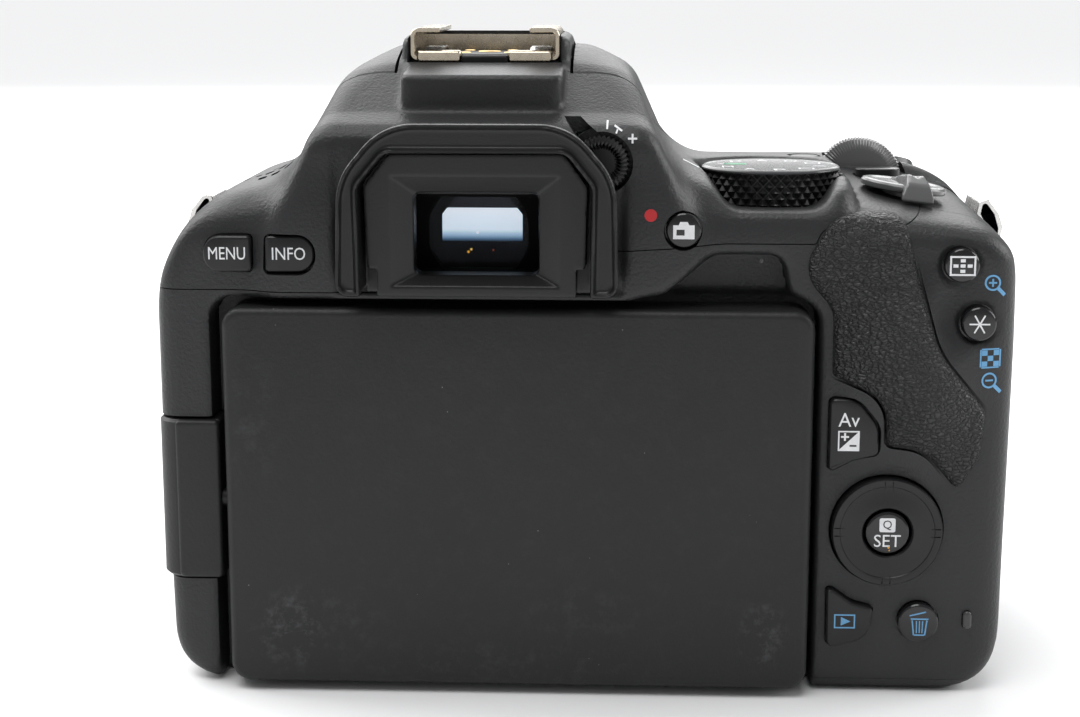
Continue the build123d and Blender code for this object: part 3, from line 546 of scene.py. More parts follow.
REAR = arc_corners([
    (-44.4, 0, 10.0), (-44.9, 16, 20), (-46.2, 38, 30), (-46.2, 57, 14), (-39, 69.6, 16),
    (-24, 74.4, 10), (30, 74.0, 10), (51.5, 73.7, 3), (56.5, 72.2, 5), (62.0, 71.0, 6),
    (69.8, 68.3, 7), (75.6, 61.0, 9),
    (76.2, 50, 20), (75.2, 22, 20), (74.8, 0, 10.0),
], 10)
PLAN = arc_corners([
    (-45.4, -25.5, 4.0), (-46.2, -12, 10), (-43.6, 14, 7.0), (40.5, 14, 5.0),
    (47.0, 17.0, 7.0), (52.0, 35.0, 9.0), (72.6, 35.0, 10), (76.2, 4, 25),
    (73.8, -25.5, 5.0),
], 10)
SIDE = arc_corners([
    (-25.5, -5, 0), (-25.5, 66.5, 8), (-20.5, 72.0, 10), (-10.0, 76.5, 10), (13.0, 76.0, 12),
    (35.0, 66.5, 9), (35.0, -5, 0),
], 10)
HOUSING_REAR = arc_corners([
    (-29.5, 50, 0), (-25.4, 73.0, 8), (-20.2, 86.2, 7), (-13.0, 90.3, 5),
    (14.5, 90.3, 5), (21.0, 86.6, 7), (26.6, 74.0, 8), (30.5, 50, 0),
], 10)
HOUSING_SIDE = arc_corners([
    (-25.5, 50, 0), (-25.5, 79.4, 4), (-19.5, 81.4, 5), (-8.5, 87.6, 8), (1.0, 90.6, 8), (8.0, 91.2, 8),
    (24.5, 86.0, 9), (31.0, 72.0, 4), (29.0, 68.0, 3), (29.0, 50, 0),
], 10)
RECESS = arc_corners([(-37.3, -9, 0), (-37.3, 56.3, 3.5), (47.0, 56.3, 3.5), (47.0, -9, 0)], 8)
NOTCH = arc_corners([
    (18.0, 45, 0), (21.8, 56.4, 3), (25.4, 57.0, 3), (32.4, 62.4, 3.5), (41.8, 62.4, 2.5),
    (42.8, 57.2, 2.5), (46.0, 54.0, 0),
], 8)
DIAL = (41.0, -7.3)
DIAL_TOP = 73.2
CROSS = (57.0, 24.0)
AF_POINT, AE_LOCK, ERASE = (65.9, 61.4), (68.5, 53.4), (61.8, 10.8)
DIAL_POCKET = arc_corners([
    (25.0, 80.0, 0), (30.7, 73.9, 3), (34.6, 68.4, 3.5), (46.8, 68.4, 3.5), (50.9, 73.8, 3), (57.0, 80.0, 0),
], 8)
LEVER = Matrix.Translation((60.0, -7.0, 69.7)) @ Matrix.Rotation(math.radians(8), 4, "Y")
SHUTTER = Matrix.Translation((60.5, 23.5, 69.8)) @ Matrix.Rotation(math.radians(-20), 4, "X")
HINGE = (-41.3, -21.0)
THUMB = arc_corners([
    (44.0, 60.4, 5), (48.9, 68.5, 5), (58.2, 68.2, 2.5), (60.4, 59.5, 60), (63.2, 49.5, 12),
    (70.2, 41.2, 2), (69.6, 34.5, 4), (66.6, 29.4, 1), (61.5, 35.6, 6), (56.3, 36.2, 1.2),
    (56.0, 43.0, 5), (48.8, 45.8, 1), (48.7, 55.0, 4),
], 8)


def slab(value, low, high):
    """Distance outside a pair of parallel planes."""
    return np.maximum(low - value, value - high)


def closed_form(x, y, z):
    """Distance to the outer form, before anything is sunk into it."""
    form = smax(smax(polygon(x, z, REAR), polygon(x, y, PLAN), 3.0), polygon(y, z, SIDE), 5.0)
    form = np.maximum(form, -z)
    housing = smax(polygon(x, z, HOUSING_REAR), polygon(y, z, HOUSING_SIDE), 3.0)
    form = smin(form, housing, 6.0)
    shelf = smax(smax(slab(x, -10.9, 11.5), slab(y, -19.5, 10.0), 1.6), z - 86.5 - 0.118 * (y + 19.0), 0.7)
    cheeks = smax(smax(slab(x, -11.9, 12.3), slab(y, -9.0, 13.4), 2.0), z - 91.7, 2.0)
    form = smin(form, smin(shelf, cheeks, 0.8), 0.8)
    radial = np.sqrt(x * x + (z - AXIS_Z) ** 2)
    form = smin(form, smax(radial - 34.3, slab(y, 4.0, 30.5), 1.2), 2.5)
    # Swell in front of the finger wheel, and the basin round the power lever.
    form = smin(form, ellipsoid(x, y, z, (56.0, 9.5, 67.2), (13.0, 7.5, 5.5)), 2.0)
    plane = 70.3 - 0.133 * (x - 54.0) + 0.11 * (y + 7.0)
    form = smax(form, -np.maximum(np.maximum(52.6 - x, y - 7.0), plane - z), 4.5)
    # Dished seat of the two buttons at the rear edge, and the swell under the thumb.
    form = smin(form, ellipsoid(x, y, z, (59.5, -19.5, 46.0), (11.5, 7.6, 17.0)), 2.5)
    form = smax(form, -ellipsoid(x, y, z, (67.0, -31.0, 58.0), (8.2, 7.2, 12.6)), 0.7)
    return np.maximum(form, -z)


def body_field(x, y, z):
    """Distance to the outer form with its soft-edged pockets."""
    form = closed_form(x, y, z)
    form = smax(form, -np.maximum(polygon(x, z, RECESS), y + 18.9), 0.9)
    form = smax(form, -np.maximum(polygon(x, z, NOTCH), y + 19.4), 1.3)
    # Well of the mode dial, open to the rear.
    around = np.sqrt((x - DIAL[0]) ** 2 + (y - DIAL[1]) ** 2)
    mouth = np.maximum(polygon(x, z, DIAL_POCKET), slab(y, -40.0, DIAL[1]))
    well = np.maximum(around - 10.6, 66.9 - z)
    form = smax(form, -np.minimum(well, mouth), 1.2)
    # Seats of the discs beside the thumb rest, the ring and the erase button.
    for u, v, r, depth, soft in (
        (*AF_POINT, 2.8, 1.75, 0.4), (*AE_LOCK, 2.8, 1.75, 0.4), (*CROSS, 8.7, 0.35, 0.7),
        (*ERASE, 3.9, 0.4, 0.8),
    ):
        near = np.sqrt((x - u) ** 2 + (z - v) ** 2) - r
        form = smax(form, -np.maximum(near, slab(y, -60.0, -25.5 + depth)), soft)
    # Flat the eyecup sits on.
    seat = np.maximum(slab(x, -19.2, 20.0), np.maximum(slab(z, 57.2, 80.6), y + 25.6))
    return np.maximum(smax(form, -seat, 0.8), -z)


def at(matrix, obj):
    """Moves a piece's mesh into the frame of matrix (millimetres)."""
    moved = matrix.copy()
    moved.translation = matrix.translation * MM
    obj.data.transform(moved)
    return obj


SHEET = 0.14
PIVOT = (-7.0, 84.0)
FLASH = np.array([(-7.0, 112.0), (-7.0, 88.2)] + [
    (PIVOT[0] + 4.2 * math.cos(t), PIVOT[1] + 4.2 * math.sin(t))
    for t in np.linspace(math.pi / 2, 3 * math.pi / 2, 33)[1:]
] + [(14.6, 75.4), (14.6, 69.4), (45.0, 69.4), (45.0, 112.0)])
SEAM = arc_corners([
    (-60, 57.3, 0), (18.6, 57.3, 0.3), (19.2, 63.2, 0.3), (34, 64.1, 5), (46.2, 64.1, 0.5), (47, 66.0, 2),
    (52, 67.4, 1), (58.6, 66.7, 1), (63.8, 69.6, 4), (69.5, 68.3, 5), (76, 60.5, 3), (90, 56, 0),
    (90, 112, 0), (-60, 112, 0),
], 6)

MENU = arc_corners([(-37.7, 64.9, 2.3), (-31.1, 64.9, 0.6), (-31.1, 59.9, 0.6), (-37.7, 59.9, 2.3)])
INFO = arc_corners([(-29.1, 64.9, 0.6), (-22.3, 64.9, 2.3), (-22.3, 59.9, 2.3), (-29.1, 59.9, 0.6)])
EXPOSURE = arc_corners([
    (48.6, 42.9, 0.9), (52.4, 42.7, 3.5), (55.4, 39.0, 3.5), (55.4, 34.9, 0.9), (52.0, 34.1, 2),
    (49.2, 32.6, 0.5), (48.6, 33.0, 0.3),
])
PLAYBACK = arc_corners([
    (48.9, 15.6, 0.4), (49.9, 15.4, 0.4), (52.4, 13.6, 2), (55.5, 12.8, 0.7), (54.7, 8.4, 3),
    (49.0, 6.8, 1.0),
])
BUTTONS = {  # node: (outline, rear face y, glossy)
    "menu_button": (MENU, -25.7, 0.0), "info_button": (INFO, -25.7, 0.0),
    "exposure_button": (EXPOSURE, -25.7, 0.0), "playback_button": (PLAYBACK, -25.7, 0.0),
    "live_view_button": (circle(28.2, 66.0, 2.4), -25.85, 1),
    "af_point_button": (circle(*AF_POINT, 2.35), -25.6, 1),
    "ae_lock_button": (circle(*AE_LOCK, 2.35), -25.6, 1),
    "erase_button": (circle(*ERASE, 2.8), -25.6, 1),
}
DECK_BUTTONS = {  # node: (x, y, z, half length, half width, proud)
    "iso_button": (57.6, 3.4, 71.5, 3.3, 1.9, 0.35), "display_button": (47.0, 6.4, 73.4, 2.1, 2.1, 0.0),
}
DIOPTER = (17.0, 75.0)
WHEEL = (55.6, 69.2)
RELEASE = (-37.0, 29.0)
BASE_SCREWS = [(-36, -12), (-36, 6), (-29, 11), (30, 11), (42, -12.5), (42, 6), (66, -18)]


def slot_outline(x, y, half_length, half_width):
    r = half_width * 0.999
    return rectangle((x - half_length, x + half_length), (y - half_width, y + half_width), r, 16)


def edge_groove(outline, axis, near, depth, width=0.16):
    """A narrow closed groove along an outline, as a cutter."""
    ring = prism("groove", grow(outline, width / 2), axis, [(near, 0), (depth, 0)])
    return cut(ring, prism("core", grow(outline, -width / 2), axis, [(near - 1, 0), (depth + 1, 0)]))


def pedestal(grow_by):
    """The part between the flash arms that stays down, its front end round the flash pivot."""
    half, radius = 12.7 + grow_by, 19.6 + grow_by
    made = block("pedestal", (-half, half), (-40, PIVOT[0]), (60, 112))
    return cut(made, bar("end", circle(*PIVOT, radius, 160), "x", -half, half), operation="UNION")


def control_wells():
    """Cutters for the openings that the controls, the finder and the sockets sit in."""
    wells = []
    for outline, _, _ in BUTTONS.values():
        wells.append(prism("well", outline, "y", [(-40, 0.32), (-25.4, 0.32), (-25.1, 0.2), (-21.4, 0.2)]))
    dish = [(-40, 0.5), (-25.2, 0.5), (-24.9, 0.3), (-21.0, 0.3)]
    wells.append(prism("well", circle(*CROSS, 7.7, 96), "y", dish))
    wells.append(bar("well", rectangle((68.0, 69.4), (9.65, 12.4), 0.69, 8), "y", -40, -21))
    wells.append(bar("well", rectangle((-9.4, 9.4), (59.6, 70.8), 1.5), "y", -40, -20))
    wells.append(bar("well", circle(*DIOPTER, 4.25, 72), "y", -40, -21))
    throat = [(29.6, 4.0), (29.6, 30.1), (32.75, 30.1), (32.75, 40)]
    wells.append(turned("well", (0, AXIS_Z), "y", throat, 128))
    wells.append(at(LEVER, turned("well", (0, 0), "z", [(6.5, -0.2), (6.5, 8)], 72)))
    mouth = [(5.5, -4.0), (5.5, -0.3), (6.0, 0.6), (6.4, 4.0)]
    wells.append(at(SHUTTER, turned("well", (0, 0), "z", mouth, 72)))
    wells.append(bar("well", circle(*WHEEL, 6.95, 72), "y", 7.9, 13.1))
    wells.append(block("well", (-10.85, 10.85), (-7.9, 10.5), (86.6, 100)))
    for x, y, z, length, width, _ in DECK_BUTTONS.values():
        levels = [(z - 4, 0.3), (z - 0.35, 0.3), (z + 2.0, 1.1)]
        wells.append(prism("well", slot_outline(x, y, length, width), "z", levels))
    for x, z, r, depth in ((*RELEASE, 4.5, 8.0), (-29.6, AXIS_Z, 1.5, 20.0)):
        wells.append(bar("well", circle(x, z, r), "y", depth, 40))
    wells.append(block("well", (-60, -41.0), (-13.85, 5.05), (8.75, 47.25)))
    return wells


def speaker_holes():
    """Two sorts of small hole in the left shoulder."""
    holes = []
    for row in range(3):
        for k in range(3):
            x, y = -31.2 + 1.9 * k + 0.5 * row, -14.5 + 3.1 * row
            outline = rectangle((x - 0.65, x + 0.65), (y - 0.75, y + 0.75), 0.5)
            holes.append(bar("hole", outline, "z", 66, 80))
    for k in range(2):
        holes.append(bar("hole", circle(-34.0 + 1.7 * k, -11.2, 0.55, 16), "z", 66, 80))
    return holes


def make_covers():
    """The moulded covers, cut from one hollow shell."""
    step = 0.5 if FINE else 1.2
    outer = field_mesh("outer", body_field, (-48, -28, -1.0), (78, 37, 94), step)
    inner = field_mesh("inner", lambda x, y, z: body_field(x, y, z) + 1.9, (-46, -26, 0), (77, 36, 92), 1.1)
    shell = cut(outer, inner)

    # Lifting flash: everything over the pivot line except the shoe's pedestal.
    zone = bar("zone", FLASH, "x", -40, 40)
    lid = cut(copy(shell, "flash_lid"), cut(zone, pedestal(0.0)), operation="INTERSECT")
    wide = bar("wide", grow(FLASH, 0.22), "x", -40, 40)
    shell = cut(shell, cut(wide, pedestal(-0.45)))

    notch = block("notch", (-11.0, 11.1), (-12.4, -7.8), (87.75, 100))
    wedge = [(11.4, 81.6), (13.2, 81.7), (16.6, 79.0), (18.6, 76.0), (15.2, 76.6), (13.2, 79.0)]
    wedge = bar("wedge", arc_corners([(*p, 0.3) for p in wedge], 3), "y", -40, -20.6)
    shell = cut(shell, join("wells", control_wells() + speaker_holes()), notch, wedge)
    shell = cut(shell, join("others", [edge_groove(THUMB, "y", -40, -24.3, 0.42), hinge_bay()]))

    # Parting lines between the four covers.
    seam = bar("seam", SEAM, "y", -60, 60)
    top = cut(copy(shell, "top_cover"), copy(seam, "s1"), operation="INTERSECT")
    below = cut(copy(shell, "below"), bar("s2", grow(SEAM, SHEET), "y", -60, 60),
                block("s3", (-80, 100), (-60, 60), (-10, 2.0)))
    base = cut(shell, block("s4", (-80, 100), (-60, 60), (-10, 1.96)), operation="INTERSECT")
    rear_half = block("s5", (-80, 100), (-60, -15.0), (-10, 120))
    rear = cut(copy(below, "rear_cover"), rear_half, operation="INTERSECT")
    front = cut(below, block("s6", (-80, 100), (-15.0 + SHEET, 60), (-10, 120)), operation="INTERSECT")
    front.name, base.name = "front_cover", "bottom_cover"
    bpy.data.objects.remove(seam)
    return top, rear, front, base, lid


def hinge_bay():
    """Room for the display's knuckle, on the left of the recess."""
    ring = turned("bay", HINGE, "z", [(4.95, 15.6), (4.95, 39.1)], 96)
    swing = block("bay3", (-60, -40.9), (-40, -16.4), (15.55, 39.15))
    return cut_union(ring, block("bay2", (-60, -37.0), (-40, -21.0), (15.5, 39.2)), swing)


def cut_union(first, *others):
    return cut(first, *others, operation="UNION")


def base_openings(base):
    cutters = [block("hole", (51.55, 69.45), (-9.75, 29.75), (-5, 5))]
    cutters.append(turned("hole", (0, 0), "z", [(6.0, -5), (6.0, 5)]))
    for x, y in BASE_SCREWS:
        cutters.append(turned("hole", (x, y), "z", [(2.3, -1), (1.95, 0.15), (1.95, 1.0)], 40))
    # Shallow pads and ribs moulded in the base.
    cutters.append(bar("hole", rectangle((-20, 20), (-20, -17), 1.4, 6), "z", -1, 0.3))
    cutters.append(bar("hole", rectangle((-40, -24), (-6, 3), 1.2, 6), "z", -1, 0.15))
    return cut(base, join("holes", cutters))


top, rear, front, base, lid = make_covers()
base = base_openings(base)
COVERS = {"top_cover": top, "rear_cover": rear, "front_cover": front, "bottom_cover": base}
for cover, piece in COVERS.items():
    put(piece, ROOT, BODY, cover, 40)
put(lid, "flash", BODY, "flash_lid", 40)
print("covers", [(o.name, len(o.data.polygons)) for o in (top, rear, front, base, lid)])

# ================================================================= rubber skins


def skin(name, mask, low, high, proud, step, soft=0.9):
    """Rubber standing proud of the body inside mask(x, y, z)."""
    def field(x, y, z):
        form = closed_form(x, y, z)
        return np.maximum(smax(form - proud, mask(x, y, z), soft), -(form + 0.7))
    return field_mesh(name, field, low, high, step if FINE else 2 * step)


def thumb_mask(x, y, z):
    return np.maximum(polygon(x, z, grow(THUMB, -0.12)), y + 17.0)


GRIP_SIDE = arc_corners([
    (-14.0, 19.6, 1.5), (-8.5, 33.0, 20), (-1.5, 46.0, 8), (-1.0, 59.5, 4), (60.0, 59.5, 0),
    (60.0, 6.0, 0), (15.0, 6.0, 5), (9.0, 15.2, 3), (-6.0, 15.2, 1.5), (-7.0, 19.6, 1),
], 8)


def grip_mask(x, y, z):
    return smax(polygon(y, z, GRIP_SIDE), 50.2 - x, 1.5)


SIDE_PATCH = arc_corners([(-43.0, 6, 2), (-43.0, 54, 3), (-34, 54, 2), (-34.0, 6, 2)])


def side_mask(x, y, z):
    mount = np.sqrt(x * x + (z - AXIS_Z) ** 2) - 35.3
    button = np.sqrt((x - RELEASE[0]) ** 2 + (z - RELEASE[1]) ** 2) - 5.2
    clear = np.minimum(mount, button)
    return np.maximum(np.maximum(polygon(x, z, SIDE_PATCH), 10.5 - y), -clear)


for name, mask, low, high, proud, step in (
    ("thumb_rest", thumb_mask, (43, -29, 27), (72, -15, 70), 0.8, 0.35),
    ("grip_rubber", grip_mask, (48, -17, 4), (78, 37, 61), 0.6, 0.45),
    ("side_rubber", side_mask, (-46, 9, 4), (-32, 17, 56), 0.6, 0.45),
):
    put(skin(name, mask, low, high, proud, step), ROOT, GRAIN, name, 60)


def flap(name, y_range):
    """A rubber connector flap that follows the body's side."""
    def field(x, y, z):
        form = closed_form(x, y, z)
        box_2d = smax(slab(y, *y_range), slab(z, 9.0, 47.0), 1.0)
        tab = np.maximum(slab(y, y_range[0] + 1.5, y_range[1] - 1.5), slab(z, 17.0, 43.0))
        shell_part = np.maximum(smax(form, box_2d, 0.7), -(form + 1.6))
        inner = np.maximum(tab, slab(x, -44.2, -42.6))
        return np.maximum(np.minimum(shell_part, np.maximum(inner, form + 1.2)), x + 42.55)
    low, high = (-48, y_range[0] - 1, 7.5), (-41, y_range[1] + 1, 48.5)
    made = field_mesh(name, field, low, high, 0.3 if FINE else 0.6)
    put(made, name, RUBBER, name, 50)


flap("rear_connector_flap", (-13.6, -4.6))
flap("front_connector_flap", (-4.2, 4.8))

# ================================================================= display


def rounded(name, outline, axis, low, high, radius, steps=5, foot=0.25):
    """A prism whose low face has edges rounded by radius and whose high face has a small bevel."""
    levels = []
    for k in range(steps + 1):
        t = math.pi / 2 * k / steps
        levels.append((low + radius * (1 - math.sin(t)), -radius * (1 - math.cos(t))))
    levels = levels[::-1] if levels[0][0] > levels[-1][0] else levels
    levels += [(high - foot, 0), (high, -foot)] if foot else [(high, 0)]
    return prism(name, outline, axis, levels)


def make_display():
    outline = arc_corners([(-35.2, 1.3, 2.8), (46.2, 1.3, 2.8), (46.2, 55.2, 2.8), (-35.2, 55.2, 2.8)], 10)
    case = rounded("display_case", outline, "y", -27.5, -19.5, 1.1, 7, 0.35)
    bay = bar("bay", rectangle((-32.2, 43.2), (3.9, 52.6), 1.0), "y", -21.1, -10)
    gap = block("gap", (-36.4, -31.8), (-25.9, -10), (15.6, 39.1))
    cut(case, bay, gap)
    cut(case, edge_groove(grow(outline, 0.3), "y", -22.6, -22.75, 0.9))
    put(case, "display", CASE, "display_case")

    pane = rectangle((-32.0, 43.0), (4.1, 52.4), 0.9, 6)
    glass = rounded("display_panel", pane, "y", -21.1, -19.7, 0.01, 1, 0.15)
    put(glass, "display", GLASS, "display_panel")

    hinge = turned("display_hinge", HINGE, "z", [(3.7, 15.9), (4.1, 16.3), (4.1, 38.4), (3.7, 38.8)], 96)
    cut(hinge, block("flat", (-60, 0), (-60, -24.9), (0, 60)))
    arm = rectangle((-41.3, -36.3), (15.9, 38.8), 0.5, 6)
    arm = prism("arm", arm, "y", [(-24.6, -0.5), (-24.2, 0), (-19.1, 0)])
    face = rounded("face", rectangle((-42.6, -36.3), (15.9, 38.8), 0.8, 8), "y", -25.33, -21.0, 0.6, 4, 0)
    shaft = turned("shaft", (0, 0), "x", [(1.2, -37.0), (1.2, -34.4), (1.2, -33.4), (1.2, -32.2)], 48)
    shaft.data.transform(Matrix.Translation((0, -0.0233, 0.02735)))
    cut_union(hinge, arm, face, shaft)
    put(hinge, "display", CASE, "display_hinge")


# ================================================================= viewfinder

CUP_OUT = arc_corners([
    (-18.3, 57.9, 1.8), (-17.9, 73.6, 9.0), (-11.7, 80.9, 9), (12.8, 80.9, 9), (19.1, 73.6, 9.0),
    (19.5, 57.9, 1.8),
], 10)
CUP_IN = arc_corners([
    (-14.6, 40, 0), (-15.2, 72.6, 2), (-11.5, 77.0, 2), (12.4, 77.0, 2), (15.9, 72.6, 2), (15.4, 40, 0),
], 8)
CUP_PLATE = arc_corners([
    (-13.0, 57.6, 0.2), (-13.0, 61.3, 0.1), (-14.3, 61.3, 0.4), (-14.7, 72.3, 1.5), (-11.3, 76.7, 1.5),
    (12.2, 76.7, 1.5), (15.3, 72.3, 1.5), (15.0, 61.3, 0.4), (13.8, 61.3, 0.1), (13.8, 57.6, 0.2),
], 5)


def cup_field(x, y, z):
    """Eyecup: a channelled rim with beaded edges round a recessed plate with a bevelled window."""
    outside, hollow = polygon(x, z, CUP_OUT), polygon(x, z, CUP_IN)
    rim = np.maximum(outside, -hollow)
    middle = np.minimum(-outside, hollow)
    step = np.clip((middle - 0.32) / 0.6, 0, 1)
    dip = 0.7 * step * step * (3 - 2 * step)
    hood = smax(rim, np.maximum(-34.2 + dip - y, y + 25.9), 0.45)
    # The flank is pinched in behind the bead.
    pinch = 0.55 * np.clip((y + 33.2) / 0.8, 0, 1)
    hood = np.maximum(hood, outside + pinch)
    for k in range(4):
        rib = np.maximum(slab(y, -32.6, -26.0), slab(z, 61.1 + 1.65 * k, 61.6 + 1.65 * k))
        hood = np.minimum(hood, np.maximum(np.maximum(rib, outside + 0.08), -(outside + 1.6)))
    floor = np.maximum(np.maximum(hollow, 57.6 - z), slab(y, -27.2, -26.0))
    plate = smax(polygon(x, z, CUP_PLATE), slab(y, -31.1, -26.2), 0.2)
    plate = np.minimum(plate, floor)
    # Picture-frame bevel, narrowing from its outer edge to the window.
    t = np.clip((y + 31.1) / 1.9, 0, 1)
    sides = np.maximum(slab(x, -11.2 + 3.1 * t, 11.6 - 2.9 * t), slab(z, 58.9 + 1.4 * t, 73.8 - 2.4 * t))
    plate = np.maximum(plate, -np.maximum(sides, y + 29.2))
    window = polygon(x, z, rectangle((-8.1, 8.7), (60.3, 71.4), 0.9))
    return np.minimum(hood, np.maximum(plate, -window))


def make_eyecup():
    cup = field_mesh("eyecup", cup_field, (-20, -35.2, 57), (21, -25.2, 82), 0.22 if FINE else 0.6)
    put(cup, "eyecup", RUBBER, "eyecup", 38)
    tunnel = bar("finder_frame", rectangle((-9.2, 9.2), (59.8, 70.7), 1.4), "y", -25.4, -16.6)
    lens_shape = arc_corners([
        (-6.9, 62.6, 3.5), (-6.9, 67.3, 3.5), (-5.2, 70.0, 0.9), (5.2, 70.0, 0.9), (6.9, 67.3, 3.5),
        (6.9, 62.6, 3.5),
        (5.0, 59.8, 0.9), (-5.0, 59.8, 0.9),
    ], 8)
    cut(tunnel, bar("t2", rectangle((-8.9, 8.9), (60.1, 70.4), 1.3), "y", -26, -21.6))
    cut(tunnel, prism("t3", lens_shape, "y", [(-22.5, 0.3), (-21.5, 0.3), (-21.2, 0), (-17.3, 0)]))
    put(tunnel, ROOT, BLACK)
    lens = prism("eyepiece_lens", lens_shape, "y", [(-20.9, -0.2), (-20.7, -0.03), (-19.6, -0.03)])
    put(lens, ROOT, LENS, "eyepiece_lens", 60)
    screen = bar("finder_view_glow", rectangle((-7.0, 7.0), (59.8, 70.2)), "y", -17.9, -17.35)
    put(screen, ROOT, FINDER_GLOW)


def painted_finder_glow():
    """What the viewfinder shows, as a painted glow: the pale focusing screen over a dark strip with two
    amber marks, shining by emission.
    """
    material, tree, bsdf = shader("finder_view_glow")
    spot = node(tree, "ShaderNodeTexCoord").outputs["Object"]
    parts = node(tree, "ShaderNodeSeparateXYZ", {"Vector": spot})
    x, z = parts.outputs["X"], parts.outputs["Z"]
    height = times(tree, minus(tree, z, 0.0600), 100.0)
    pale = ramp(tree, height, [
        (0.0, (0.001, 0.001, 0.001)), (0.34, (0.002, 0.002, 0.003)), (0.37, (0.05, 0.11, 0.19)),
        (0.42, (0.24, 0.36, 0.46)), (0.50, (0.58, 0.66, 0.72)), (0.79, (0.66, 0.70, 0.73)),
        (0.80, (0.01, 0.01, 0.012)),
    ])
    off = math_node(tree, "ABSOLUTE", minus(tree, x, 0.00025))
    # The pale field's upper corners are cut off.
    corner = plus(tree, off, times(tree, minus(tree, z, 0.0671), 0.8))
    wide = math_node(tree, "LESS_THAN", math_node(tree, "MAXIMUM", off, corner), 0.00555)
    shown = blend(tree, wide, (0.001, 0.001, 0.001), pale)
    for u, v, size, colour in (
        (-0.0017, 0.06195, 0.00017, (0.75, 0.36, 0.03)), (-0.0013, 0.0623, 0.00016, (0.8, 0.5, 0.1)),
        (-0.0004, 0.0646, 0.00018, (0.7, 0.72, 0.75)), (0.0018, 0.0622, 0.00010, (0.4, 0.05, 0.02)),
    ):
        away = node(tree, "ShaderNodeVectorMath", {0: spot, 1: (u, -0.0179, v)}, operation="DISTANCE")
        near = math_node(tree, "LESS_THAN", away.outputs["Value"], size)
        shown = blend(tree, near, shown, colour)
    tree.links.new(shown, bsdf.inputs["Base Color"])
    # Painted glow: the same colour drives emission, so the screen lights itself.
    tree.links.new(shown, bsdf.inputs["Emission Color"])
    bsdf.inputs["Emission Strength"].default_value = 0.85
    bsdf.inputs["Specular IOR Level"].default_value = 0.1
    speckle = noise(tree, spot, 1800, 3.0)
    tree.links.new(plus(tree, 0.35, times(tree, speckle, 0.2)), bsdf.inputs["Roughness"])
    return material


def glass_material(name, colour, roughness, transmission):
    """Coated glass with faint smears."""
    material, tree, bsdf = shader(name)
    smear = noise(tree, coordinates(tree, (1, 1, 3)), 120, 3.0)
    bsdf.inputs["Base Color"].default_value = (*colour, 1)
    tree.links.new(plus(tree, roughness, times(tree, smear, 0.06)), bsdf.inputs["Roughness"])
    bsdf.inputs["Transmission Weight"].default_value = transmission
    bsdf.inputs["IOR"].default_value = 1.5 if transmission < 0.5 else 1.12
    return material


FINDER_GLOW = painted_finder_glow()
LENS = glass_material("finder_lens", (0.92, 0.95, 1.0), 0.0, 1.0)
GLASS = glass_material("display_glass", (0.006, 0.006, 0.008), 0.04, 0.0)
make_display()
make_eyecup()

# ================================================================= controls


def knurl(columns, pitch, height, start):
    """Diamond pyramids standing out from a turned surface."""
    def add(t, w):
        u, v = t * columns / (2 * math.pi), (w - start) / pitch
        a, b = (u + v) % 1.0, (u - v) % 1.0
        return -height * max(abs(2 * a - 1), abs(2 * b - 1))
    return add


def teeth(count, height):
    def add(t, w):
        return height * (abs(2 * ((t * count / (2 * math.pi)) % 1.0) - 1) - 1.0)
    return add


def make_mode_dial():
    detail = 12 if FINE else 3
    rows = 36 if FINE else 8
    pitch = 5.1 / 3.0
    skirt = [(8.6, 67.45), *((9.85, 67.6 + 5.1 * k / rows) for k in range(rows + 1)), (8.6, 72.9)]
    ring = turned("mode_dial", DIAL, "z", skirt, 36 * detail, knurl(36, pitch, 0.62, 67.6))
    cap = turned("mode_dial_cap", DIAL, "z", [
        (9.2, 72.6), (9.75, 72.7), (9.9, 72.86), (9.86, 73.04), (9.6, 73.24), (9.35, 73.3),
        (9.2, 73.22), (9.0, 73.2), (0, 73.2),
    ], 128)
    shaft = turned("mode_dial_stem", DIAL, "z", [(2.0, 64.6), (2.0, 68.0)], 32)
    put(ring, "mode_dial", BUTTON, "mode_dial", 20)
    put(cap, "mode_dial", DIALTOP)
    put(shaft, "mode_dial", DARK)


def make_wheels():
    count = 84
    profile = [(5.0, 8.6), (5.2, 8.65), (5.8, 8.9), (6.5, 9.5), (6.6, 9.8), (6.6, 11.5)]
    profile += [(6.4, 11.9), (5.9, 12.4), (5.3, 12.55)]
    wheel = turned("finger_wheel", WHEEL, "y", profile, count * (6 if FINE else 3), teeth(count, 0.22))
    put(wheel, "finger_wheel", LEVER_PAINTED_SHEEN, "finger_wheel", 24)
    profile = [
        (0, -24.5), (2.1, -24.5), (2.5, -24.9), (2.75, -25.35), (3.1, -25.4), (3.7, -25.2),
        (3.85, -24.9), (3.85, -23.0),
        (4.7, -22.9), (4.7, -22.2),
    ]
    edge = teeth(34, 0.34)
    dial = turned("diopter_dial", DIOPTER, "y", profile, 34 * 8,
                  lambda t, w: edge(t, w) if w < -22.95 else 0.0)
    put(dial, "diopter_dial", BUTTON, "diopter_dial", 20)


